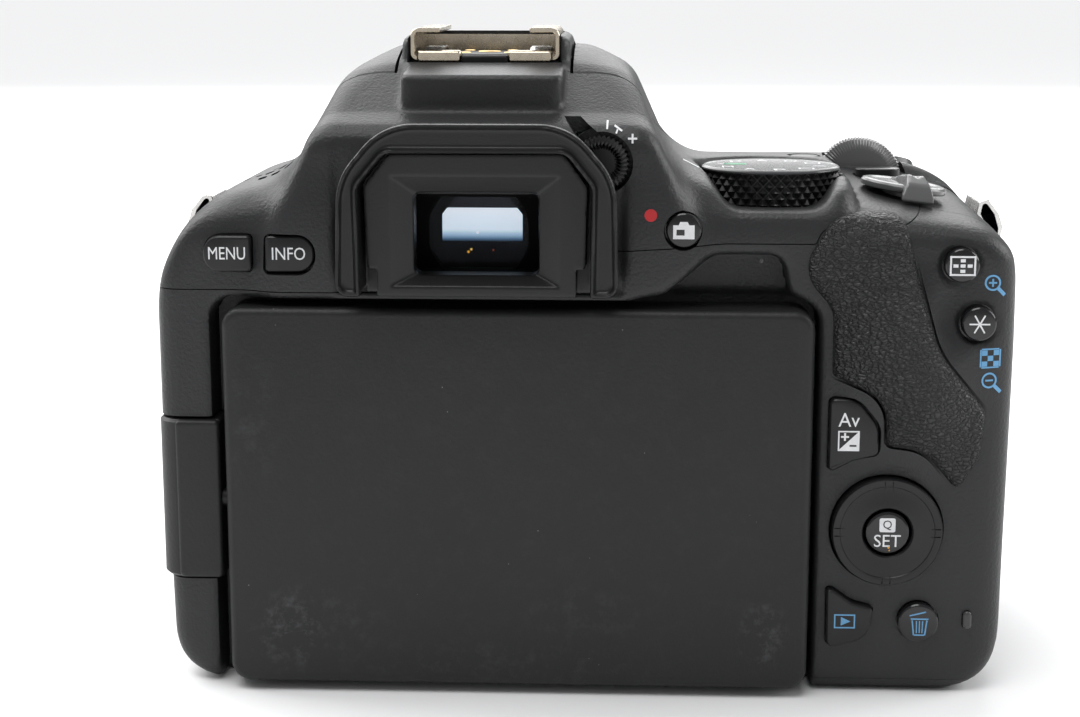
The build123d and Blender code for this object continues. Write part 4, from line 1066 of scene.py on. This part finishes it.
def make_lever():
    lever = turned("power_lever", (0, 0), "z", [
        (5.5, 0.0), (6.0, 0.12), (6.1, 0.35), (6.1, 0.8), (5.9, 1.08), (5.5, 1.2), (4.9, 1.2), (4.6, 1.08),
        (3.0, 1.1), (0, 1.2),
    ], 96)
    stem = turned("stem", (0, 0), "z", [(2.95, -3.0), (2.95, 0.1)], 40)
    foot = turned("foot", (0, 0), "z", [(4.1, -3.6), (4.1, -3.0)], 40)
    side = arc_corners([
        (2.6, 0.4, 0.2), (2.6, 1.35, 0.3), (-1.6, 2.3, 1.5), (-5.2, 2.75, 1.5), (-7.4, 1.6, 1.2),
        (-8.4, -0.9, 0.4), (-7.2, -0.9, 0.3),
        (-6.3, 0.4, 0.3),
    ])
    turn = math.radians(9)

    def field(x, y, z):
        u, v = x * math.cos(turn) + y * math.sin(turn), y * math.cos(turn) - x * math.sin(turn)
        half = 0.95 + 0.07 * np.clip(-v, 0, 9) + 0.32 * np.clip(2.4 - z, 0, 2.4)
        blade = smax(polygon(v, z, side), np.abs(u) - half, 0.35)
        hollow = ellipsoid(u, v, z, (0.0, -3.0, 4.0), (0.9, 4.6, 1.9))
        return smax(blade, -hollow, 0.3)

    tab = field_mesh("tab", field, (-4.6, -9.2, -1.4), (4.6, 3.4, 3.2), 0.12 if FINE else 0.3)
    cut_union(lever, tab, stem, foot)
    put(at(LEVER, lever), "power_lever", LEVER_PAINTED_SHEEN, "power_lever", 28)


def make_deck_buttons():
    for name, (x, y, z, length, width, proud) in DECK_BUTTONS.items():
        outline = slot_outline(x, y, length, width)
        top = z + proud
        levels = [(z - 4.5, 0.6), (z - 3.2, 0.6), (z - 3.2, 0)]
        levels += [(top - 0.2, 0), (top - 0.05, -0.1), (top, -0.3)]
        put(prism(name, outline, "z", levels), name, BUTTON, name)
    profile = [(5.9, -5.7), (5.9, -4.9), (5.2, -4.8), (5.2, 0.45), (5.05, 0.75), (4.7, 0.9)]
    profile += [(4.2, 0.86), (3.0, 0.75), (1.5, 0.68), (0, 0.66)]
    button = turned("shutter_button", (0, 0), "z", profile, 96)
    put(at(SHUTTER, button), "shutter_button", SHUTTERMAT, "shutter_button")


def make_rear_buttons():
    for name, (outline, face, glossy) in BUTTONS.items():
        levels = [(face, -0.42), (face + 0.05, -0.22), (face + 0.2, -0.05), (face + 0.42, 0)]
        levels += [(-23.5, 0), (-23.5, 0.7), (-22.7, 0.7)]
        material = GLOSS if glossy else BUTTON
        put(prism(name, outline, "y", levels), name, material, name, 25)


def make_cross_key():
    x, z = CROSS
    profile = [
        (3.4, -22.9), (3.4, -25.8), (3.6, -26.1), (4.2, -26.05), (5.4, -25.85), (6.5, -25.8),
        (6.6, -25.92), (7.2, -26.02),
        (7.5, -26.0), (7.68, -25.7), (7.68, -23.4), (7.0, -22.9),
    ]
    ring = turned_ring("cross_key", (x, z), profile)
    marks = []
    for k in range(4):
        t = math.pi / 2 * k
        for side in (-0.55, 0.55):
            mark = block("mark", (6.0, 7.35), (side - 0.08, side + 0.08), (-0.5, 0.12))
            mark.data.transform(Matrix.Rotation(t, 4, "Z"))
            mark.data.transform(Matrix.Translation((x * MM, z * MM, -25.85 * MM)))
            mark.data.transform(Matrix(((1, 0, 0, 0), (0, 0, 1, 0), (0, 1, 0, 0), (0, 0, 0, 1))))
            mark.data.flip_normals()
            marks.append(mark)
    cut(ring, join("marks", marks))
    put(ring, "cross_key", BUTTON, "cross_key", 28)
    profile = [(3.0, -22.9), (3.05, -25.55), (2.95, -25.85), (2.75, -25.98), (2.55, -26.0), (0, -26.0)]
    button = turned("set_button", (x, z), "y", profile, 96)
    put(button, "set_button", GLOSS, "set_button", 28)


def turned_ring(name, centre, profile, count=160):
    """A ring turned about Y from a closed (radius, y) profile."""
    points, faces = [], []
    size = len(profile)
    for k in range(count):
        t = 2 * math.pi * k / count
        for r, w in profile:
            points.append(turn_point(centre, "y", r * math.cos(t), r * math.sin(t), w))
    for k in range(count):
        for i in range(size):
            a, b = k * size + i, k * size + (i + 1) % size
            c, d = (k + 1) % count * size + (i + 1) % size, (k + 1) % count * size + i
            faces.append((a, b, c, d))
    return new_mesh(name, points, faces)


def make_lamp():
    outline = rectangle((68.1, 69.3), (9.75, 12.3), 0.59, 8)
    lamp = prism("access_lamp", outline, "y", [(-24.95, -0.3), (-24.85, -0.1), (-24.7, 0), (-23.7, 0)])
    put(lamp, ROOT, LAMP, "access_lamp")


make_mode_dial()
make_wheels()
make_lever()
make_deck_buttons()
make_rear_buttons()
make_cross_key()
make_lamp()

# ================================================================= shoe and lugs


def make_shoe():
    """Folded sheet rails round a plastic floor with five contacts."""
    t = 0.62
    pieces = []
    for side in (-1, 1):
        outline = arc_corners([(side * x, z, r) for x, z, r in (
            (4.9, 88.0, 0), (10.7, 88.0, 1.0), (10.7, 92.55, 1.2), (6.4, 92.55, 0.12),
            (6.4, 92.55 - t, 0.12), (10.05, 92.55 - t, 0.5), (10.05, 88.0 + t, 0.4), (4.9, 88.0 + t, 0),
        )], 6)
        pieces.append(prism("rail", outline, "y", [(-7.7, -0.08), (-7.6, 0), (10.3, 0)]))
        lip = rectangle(sorted((side * 3.3, side * 9.7)), (87.75, 89.45), 0.5, 5)
        pieces.append(prism("lip", lip, "y", [(-8.75, -0.3), (-8.6, -0.1), (-8.4, 0), (-7.4, 0)]))
    pieces.append(block("stop", (-10.5, 10.5), (9.4, 10.25), (88.0, 91.2)))
    shoe = cut_union(*pieces)
    shoe.name = "accessory_shoe"
    put(shoe, ROOT, SHOE, "accessory_shoe", 30)
    plate = rectangle((-4.7, 4.7), (-7.3, 9.3), 0.3)
    floor = prism("shoe_contacts", plate, "z", [(86.8, 0), (88.7, 0), (88.85, -0.15)])
    under = block("under", (-10.6, 10.6), (-7.6, 10.2), (86.7, 87.95))
    tongue = rectangle((-3.3, 3.3), (87.0, 88.75), 0.2, 3)
    tongue = prism("tongue", tongue, "y", [(-8.9, -0.25), (-8.7, 0), (-7.0, 0)])
    cut_union(floor, under, tongue)
    put(floor, ROOT, DARK, "shoe_contacts")
    pads = []
    small = [(x, y, 0.85) for y in (6.2, -2.6) for x in (-3.2, 3.2)]
    for x, y, r in [(0, 2.0, 1.7), *small]:
        pads.append(turned("pad", (x, y), "z", [(r, 88.5), (r, 88.92), (r - 0.12, 89.0), (0, 89.04)], 40))
    put(join("shoe_pads", pads), ROOT, GOLD)
    springs = []
    for side in (-1, 1):
        # Leaf spring bowed up inside each rail.
        bow = [(-6.6, 88.7), (-2.0, 89.4), (3.0, 89.5), (8.4, 88.7)]
        leaf = np.array(bow + [(y, z + 0.22) for y, z in bow[::-1]])
        x0, x1 = sorted((side * 6.3, side * 9.2))
        springs.append(bar("spring", leaf, "x", x0, x1))
    put(join("shoe_spring", springs), ROOT, CHROME)


def make_lugs():
    """Bent metal strips standing off the shoulders, for the strap."""
    lugs = []
    for path in (
        [(73.6, 63.4), (72.7, 65.0), (73.0, 66.7), (74.0, 66.9), (75.3, 65.2), (76.0, 62.9), (75.5, 60.9)],
        [(-43.0, 63.6), (-42.2, 65.4), (-42.5, 67.0), (-43.5, 67.0),
         (-44.9, 65.2), (-45.7, 62.9), (-45.3, 60.9)],
    ):
        if path[0][0] < 0:
            path = path[::-1]
        path = np.array(path, float)
        t = np.gradient(path, axis=0)
        t /= np.linalg.norm(t, axis=1)[:, None]
        n = np.stack([-t[:, 1], t[:, 0]], 1) * 0.4
        strip = arc_corners([(*p, 0.4) for p in np.concatenate([path + n, (path - n)[::-1]])], 3)
        lugs.append(prism("lug", strip, "y", [(2.6, -0.12), (2.75, 0), (13.2, 0), (13.35, -0.12)]))
    put(join("strap_lugs", lugs), ROOT, CHROME, "strap_lugs")


make_shoe()
make_lugs()

# ================================================================= front and base pieces


def make_front():
    profile = [(4.85, 10.2), (4.85, 11.0), (4.15, 11.0), (4.15, 16.6)]
    profile += [(3.9, 17.0), (3.4, 17.1), (2.0, 16.8), (0, 16.7)]
    button = turned("lens_release_button", RELEASE, "y", profile, 96)
    cut(button, turned("clear", (0, AXIS_Z), "y", [(34.7, 5), (34.7, 40)], 128))
    put(button, "lens_release_button", BUTTON, "lens_release_button")


def make_door():
    outline = rectangle((51.8, 69.2), (-9.5, 29.5), 1.5, 6)
    door = prism("battery_door", outline, "z", [(0.25, -0.3), (0.4, -0.08), (0.6, 0), (2.0, 0)])
    inner = bar("in", rectangle((55.8, 65.2), (-4.9, 26.5), 1.0), "z", 1.9, 2.6)
    slot = rectangle((54.0, 58.8), (4.0, 16.0), 0.6)
    slot = prism("slot", slot, "z", [(-1, 0.1), (0.35, 0.1), (0.5, 0), (1.3, 0)])
    ribs = [block("rib", (60.6, 66.6), (5.0 + 1.6 * k, 5.5 + 1.6 * k), (-1, 0.42)) for k in range(7)]
    door = cut(cut_union(door, inner), slot, join("ribs", ribs))
    put(door, "battery_door", BODY, "battery_door")
    latch = rectangle((54.3, 56.7), (4.3, 15.7), 0.5)
    latch = prism("battery_door_latch", latch, "z", [(0.35, -0.15), (0.5, 0), (1.0, 0)])
    cut(latch, join("ribs", [block("rib", (54.7, 56.3), (6.5 + k, 6.9 + k), (0, 0.55)) for k in range(8)]))
    put(latch, "battery_door_latch", BUTTON, "battery_door_latch")


make_front()
make_door()

# ================================================================= legends


def surface_y(x, z):
    """The body's rear surface under points (x, z), by stepping along Y."""
    x, z = np.asarray(x, float)[:, None, None], np.asarray(z, float)[:, None, None]
    low, high = np.full(x.shape, -30.0), np.full(x.shape, -8.0)
    for _ in range(40):
        middle = (low + high) / 2
        inside = body_field(x, middle, z) < 0
        high = np.where(inside, middle, high)
        low = np.where(inside, low, middle)
    return high[:, 0, 0]


def text_mesh(text, width, height, at_xz):
    """Lettering facing the rear, fitted to a width and cap height around a centre."""
    curve = bpy.data.curves.new("text", "FONT")
    curve.body = text
    curve.resolution_u = 3
    obj = add_object("text", curve)
    bpy.context.view_layer.update()
    mesh = bpy.data.meshes.new_from_object(obj.evaluated_get(bpy.context.evaluated_depsgraph_get()))
    bpy.data.objects.remove(obj)
    co = np.array([v.co for v in mesh.vertices])
    faces = [tuple(p.vertices) for p in mesh.polygons]
    low, high = co.min(0), co.max(0)
    u = (co[:, 0] - (low[0] + high[0]) / 2) / (high[0] - low[0]) * width + at_xz[0]
    v = (co[:, 1] - (low[1] + high[1]) / 2) / (high[1] - low[1]) * height + at_xz[1]
    bpy.data.meshes.remove(mesh)
    return np.stack([u, v], 1), faces


def stroke(points, width):
    """Quads along a line of points."""
    made = []
    for a, b in zip(points, points[1:]):
        a, b = np.array(a, float), np.array(b, float)
        d = (b - a) / max(np.linalg.norm(b - a), 1e-9)
        n = np.array((-d[1], d[0])) * width / 2
        a, b = a - d * width * 0.2, b + d * width * 0.2
        made.append([a - n, b - n, b + n, a + n])
    return made


def arc_stroke(centre, radius, width, count=28):
    """Quads round a circle."""
    t = np.linspace(0.0, 2 * math.pi, count)
    inner, outer = (
        [(centre[0] + r * math.cos(k), centre[1] + r * math.sin(k)) for k in t]
        for r in (radius - width / 2, radius + width / 2)
    )
    return [[inner[k], inner[k + 1], outer[k + 1], outer[k]] for k in range(count - 1)]


def frame_stroke(u, v, w):
    """Four bars of width w just inside a rectangle."""
    (a, b), (c, d) = u, v
    sides = [quad(x, (c + w, d - w)) for x in ((a, a + w), (b - w, b))]
    return [quad(u, (c, c + w)), quad(u, (d - w, d)), *sides]


def quad(u, v):
    return [(u[0], v[0]), (u[1], v[0]), (u[1], v[1]), (u[0], v[1])]


FACES = {"set_button": -26.0, **{name: face for name, (_, face, _) in BUTTONS.items()}}


def print_on(name, shapes, body_name, material, lift=0.02, place=None):
    """Printed shapes: thin solids on a button's flat face, or draped over the body's rear."""
    flat, faces = [], []
    for shape in shapes:
        if isinstance(shape, tuple):
            points, polys = shape
        else:
            points, polys = np.array(shape, float), [tuple(range(len(shape)))]
        offset = len(flat)
        flat += [tuple(p) for p in points]
        faces += [tuple(offset + i for i in poly) for poly in polys]
    flat = np.array(flat)
    if place is None:
        face = FACES.get(body_name)
        y = np.full(len(flat), face) if face is not None else surface_y(flat[:, 0], flat[:, 1])
        over = np.stack([flat[:, 0], y - lift, flat[:, 1]], 1)
        under_side = over + np.array((0, lift + 0.06, 0))
    else:
        over = np.array([place(u, v, lift) for u, v in flat])
        under_side = np.array([place(u, v, -0.06) for u, v in flat])
    count = len(flat)
    edges = {}
    for poly in faces:
        for a, b in zip(poly, poly[1:] + poly[:1]):
            edges[(a, b)] = edges.get((a, b), 0) + 1
    all_faces = [p for p in faces] + [tuple(i + count for i in p[::-1]) for p in faces]
    for (a, b) in edges:
        if (b, a) not in edges:
            all_faces.append((b, a, a + count, b + count))
    obj = new_mesh(name, np.concatenate([over, under_side]), all_faces)
    tidy_faces(obj)
    put(obj, body_name, material)


def magnifier(u, v, plus_sign):
    shapes = arc_stroke((u, v), 0.98, 0.26)
    shapes += stroke([(u + k, v - k) for k in (0.8, 1.2, 1.65)], 0.5)
    shapes += stroke([(u - 0.5, v), (u, v), (u + 0.5, v)], 0.24)
    if plus_sign:
        shapes += stroke([(u, v - 0.5), (u, v - 0.14)], 0.24) + stroke([(u, v + 0.14), (u, v + 0.5)], 0.24)
    return shapes


def star_shape(centre, radius, width, arms):
    """A star of straight arms as one outline: a plus sign with four, an asterisk with six."""
    points = []
    half = width / 2
    for k in range(arms):
        c, s = math.cos(2 * math.pi * k / arms), math.sin(2 * math.pi * k / arms)
        for r, side in ((radius, -half), (radius, half), (half / math.tan(math.pi / arms), half)):
            points.append((centre[0] + r * c - side * s, centre[1] + r * s + side * c))
    return points


def make_legends():
    print_on("menu_legend", [text_mesh("MENU", 5.1, 1.72, (-34.35, 62.5))], "menu_button", WHITE)
    print_on("info_legend", [text_mesh("INFO", 4.6, 1.72, (-25.8, 62.5))], "info_button", WHITE)
    left, right = 26.75, 29.65
    camera = [quad((left, right), (64.85, 65.35)), quad((left, 27.2), (65.35, 66.15))]
    camera += [quad((28.3, right), (65.35, 66.15)), quad((left, right), (66.15, 66.75))]
    camera.append([(27.5, 66.75), (28.9, 66.75), (28.7, 67.2), (27.7, 67.2)])
    print_on("live_view_legend", camera, "live_view_button", WHITE)
    frame_bars = frame_stroke((64.15, 67.65), (60.05, 62.75), 0.25)
    for u, v in ((0, 0), (-0.95, 0), (0.95, 0), (0, 0.72), (0, -0.72)):
        frame_bars.append(quad((65.9 + u - 0.33, 65.9 + u + 0.33), (61.4 + v - 0.22, 61.4 + v + 0.22)))
    print_on("af_point_legend", frame_bars, "af_point_button", WHITE)
    print_on("ae_lock_legend", [star_shape(AE_LOCK, 1.4, 0.21, 6)], "ae_lock_button", WHITE)
    print_on("exposure_text", [text_mesh("Av", 2.9, 1.95, (51.25, 39.95))], "exposure_button", WHITE)
    u0, u1, v0, v1 = 49.8, 52.75, 35.55, 38.4
    tile = frame_stroke((u0, u1), (v0, v1), 0.2)
    tile.append([(u0 + 0.2, v0 + 0.2), (u1 - 0.2, v0 + 0.2), (u1 - 0.2, v1 - 0.2)])
    tile.append(star_shape((50.75, 37.55), 0.55, 0.26, 4))
    print_on("exposure_tile", tile, "exposure_button", WHITE)
    minus_sign = stroke([(51.45, 36.3), (52.3, 36.3)], 0.26)
    print_on("exposure_minus", minus_sign, "exposure_button", DARKINK, 0.03)
    print_on("set_legend", [text_mesh("SET", 3.7, 1.75, (57.0, 22.85))], "set_button", WHITE)
    tile = arc_corners([(55.85, 24.1, 0.25), (58.05, 24.1, 0.25), (58.05, 26.1, 0.25), (55.85, 26.1, 0.25)])
    print_on("quick_tile", [tile], "set_button", WHITE)
    print_on("quick_letter", [text_mesh("Q", 1.2, 1.4, (56.95, 25.1))], "set_button", DARKINK, 0.03)
    print_on("set_speck", [circle(57.2, 21.9, 0.16, 10), circle(57.3, 21.5, 0.1, 8)], "set_button", AMBER)
    play = frame_stroke((50.0, 52.95), (9.95, 12.0), 0.2) + [[(50.95, 10.35), (52.3, 10.98), (50.95, 11.6)]]
    print_on("playback_legend", play, "playback_button", BLUE)
    can = stroke([(60.9, 11.2), (61.15, 9.1)], 0.2) + stroke([(62.95, 11.2), (62.7, 9.1)], 0.2)
    can += [quad((61.24, 62.61), (8.98, 9.18)), quad((60.7, 63.15), (11.32, 11.52))]
    for u in (61.5, 61.93, 62.36):
        can += stroke([(u, 11.1), (u + 0.1 * (61.93 - u), 9.4)], 0.16)
    can += stroke([(60.55, 11.9), (62.75, 12.45)], 0.2)
    print_on("erase_legend", can, "erase_button", BLUE)
    print_on("zoom_in_legend", magnifier(70.3, 58.9, True), ROOT, BLUE, lift=0.05)
    print_on("zoom_out_legend", magnifier(70.3, 45.4, False), ROOT, BLUE, lift=0.05)
    board = []
    for i in range(3):
        for j in range(3):
            if (i + j) % 2 == 0:
                u, v = 69.1 + 0.84 * i, 47.35 + 0.76 * j
                board.append(quad((u + 0.02, u + 0.82), (v + 0.02, v + 0.74)))
    board += [quad((68.85, 69.07), (47.3, 49.7)), quad((71.65, 71.87), (47.3, 49.7))]
    board += [quad((69.1, 71.6), (49.66, 49.86)), quad((69.1, 71.6), (47.12, 47.32))]
    print_on("index_legend", board, ROOT, BLUE, lift=0.05)
    print_on("record_dot", [circle(23.7, 68.1, 0.85, 32)], ROOT, RED)
    print_on("notch_mark", [circle(39.2, 61.0, 0.28, 14)], ROOT, DIALTOP)
    marks = stroke([(17.75, 80.55), (17.74, 80.3), (17.73, 80.1), (17.72, 79.85), (17.7, 79.6)], 0.24)
    marks += stroke([(18.75, 80.0), (19.2, 79.7), (19.7, 79.35)], 0.24)
    marks += stroke([(18.95, 79.05), (19.12, 79.5)], 0.22)
    print_on("diopter_marks", marks, ROOT, WHITE, lift=0.13)
    print_on("diopter_plus", [star_shape((21.15, 78.35), 0.62, 0.26, 4)], ROOT, WHITE, lift=0.1)
    pointer = [(28.3, -13.3), (30.6, -13.0), (30.6, -12.4), (28.3, -12.7)]
    print_on("dial_index", [pointer], ROOT, WHITE, lift=0.06, place=on_deck)
    icons = []
    for k, kind in enumerate(("M", "A", "P", "box", "line", "box", "dot", "A", "P", "line")):
        t = math.radians(205 + 36 * k)
        u, v = DIAL[0] + 6.9 * math.cos(t), DIAL[1] + 6.9 * math.sin(t)
        if kind in ("M", "A", "P"):
            icons.append(text_mesh(kind, 1.6, 1.9, (u, v)))
        elif kind == "box":
            icons += frame_stroke((u - 1.1, u + 1.1), (v - 0.8, v + 0.8), 0.24)
        elif kind == "line":
            icons += stroke([(u - 1.0, v - 0.5), (u + 1.0, v - 0.5)], 0.3)
            icons += stroke([(u - 0.7, v + 0.5), (u + 0.7, v + 0.5)], 0.3)
        else:
            icons += arc_stroke((u, v), 0.8, 0.28)
    green = [rectangle((DIAL[0] - 6.6, DIAL[0] - 3.4), (DIAL[1] + 0.4, DIAL[1] + 2.4), 0.3)]
    print_on("dial_icons", icons, "mode_dial", WHITE, place=on_dial)
    print_on("dial_green", green, "mode_dial", GREEN, place=on_dial)


def on_dial(u, v, lift):
    return u, v, DIAL_TOP + lift


def on_deck(u, v, lift):
    """The body's upper surface over (u, v)."""
    bottom, ceiling = 68.0, 80.0
    for _ in range(30):
        middle = (bottom + ceiling) / 2
        inside = body_field(*(np.full((1, 1, 1), k) for k in (u, v, middle)))[0, 0, 0] < 0
        bottom, ceiling = (middle, ceiling) if inside else (bottom, middle)
    return u, v, bottom + lift


make_legends()

# Better materials for the pieces kept from the CAD.
KEPT = {
    "lens_mount_ring": CHROME, "mount_screws": STEEL, "case_screws": STEEL, "tripod_socket": STEEL,
    "lens_lock_pin": CHROME, "chassis_frame": STEEL, "memory_card": DARK, "battery": CASE,
    "battery_case": DARK, "mirror_box": DARK, "connector_block": DARK, "lens_contacts": GOLD,
    "cross_key_gimbal": STEEL, "shutter_unit": DARK,
}
for name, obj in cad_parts.items():
    if name in KEPT:
        obj.data.materials.clear()
        obj.data.materials.append(KEPT[name])

# ================================================================= stage


def add_lamp(name, light, energy, place, backwards):
    """A lamp at place that shines away from the direction backwards."""
    light.energy = energy
    lamp = add_object(name, light)
    lamp.location = place
    lamp.rotation_mode = "QUATERNION"
    lamp.rotation_quaternion = backwards.to_track_quat("Z", "Y")
    lamp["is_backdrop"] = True
    return lamp


def stage():
    """A plain paper floor, soft light and the camera."""
    floor_mesh = bpy.data.meshes.new("floor")
    floor_mesh.from_pydata([(-40, -40, 0), (40, -40, 0), (40, 40, 0), (-40, 40, 0)], [], [(0, 1, 2, 3)])
    floor = add_object("floor", floor_mesh)
    material, _, bsdf = shader("paper")
    bsdf.inputs["Base Color"].default_value = (0.88, 0.88, 0.885, 1)
    bsdf.inputs["Roughness"].default_value = 0.95
    bsdf.inputs["Specular IOR Level"].default_value = 0.1
    floor.data.materials.append(material)
    floor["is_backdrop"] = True
    world = bpy.data.worlds.new("world")
    bpy.context.scene.world = world
    world.use_nodes = True
    world.node_tree.nodes["Background"].inputs["Color"].default_value = (0.98, 0.99, 1.0, 1)
    world.node_tree.nodes["Background"].inputs["Strength"].default_value = 0.36
    # Two broad overhead sources, one towards the viewer and one to the left and behind, and three softboxes.
    for name, toward in (("overhead", (-0.14, -0.30, 0.94)), ("high_left", (-0.52, 0.18, 0.83))):
        light = bpy.data.lights.new(name, "SUN")
        light.angle = math.radians(32)
        add_lamp(name, light, 1.2, (0, 0, 0), Vector(toward))
    for name, place, size, energy, height in (
        ("back", (-0.05, 0.95, 0.78), 1.1, 12.0, 0.06),
        ("back_left", (-0.85, 0.45, 0.6), 0.7, 6.5, 0.06),
        ("right", (0.85, 0.15, 0.5), 0.6, 6.0, 0.05),
    ):
        light = bpy.data.lights.new(name, "AREA")
        light.size = size
        lamp = add_lamp(name, light, energy, place, Vector(place) - Vector((0, 0, height)))
        lamp.visible_camera = False
    camera = bpy.data.cameras.new("camera")
    camera.lens, camera.sensor_width = 65.26, 36.0
    camera.clip_start, camera.clip_end = 0.01, 100
    holder = add_object("camera", camera)
    holder.location = (0.0207, -0.28984, 0.10015)
    holder.rotation_euler = (math.radians(90 - 11.119), 0, math.radians(2.602))
    bpy.context.scene.camera = holder
    bpy.context.scene.view_settings.view_transform = "Standard"


stage()
low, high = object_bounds()
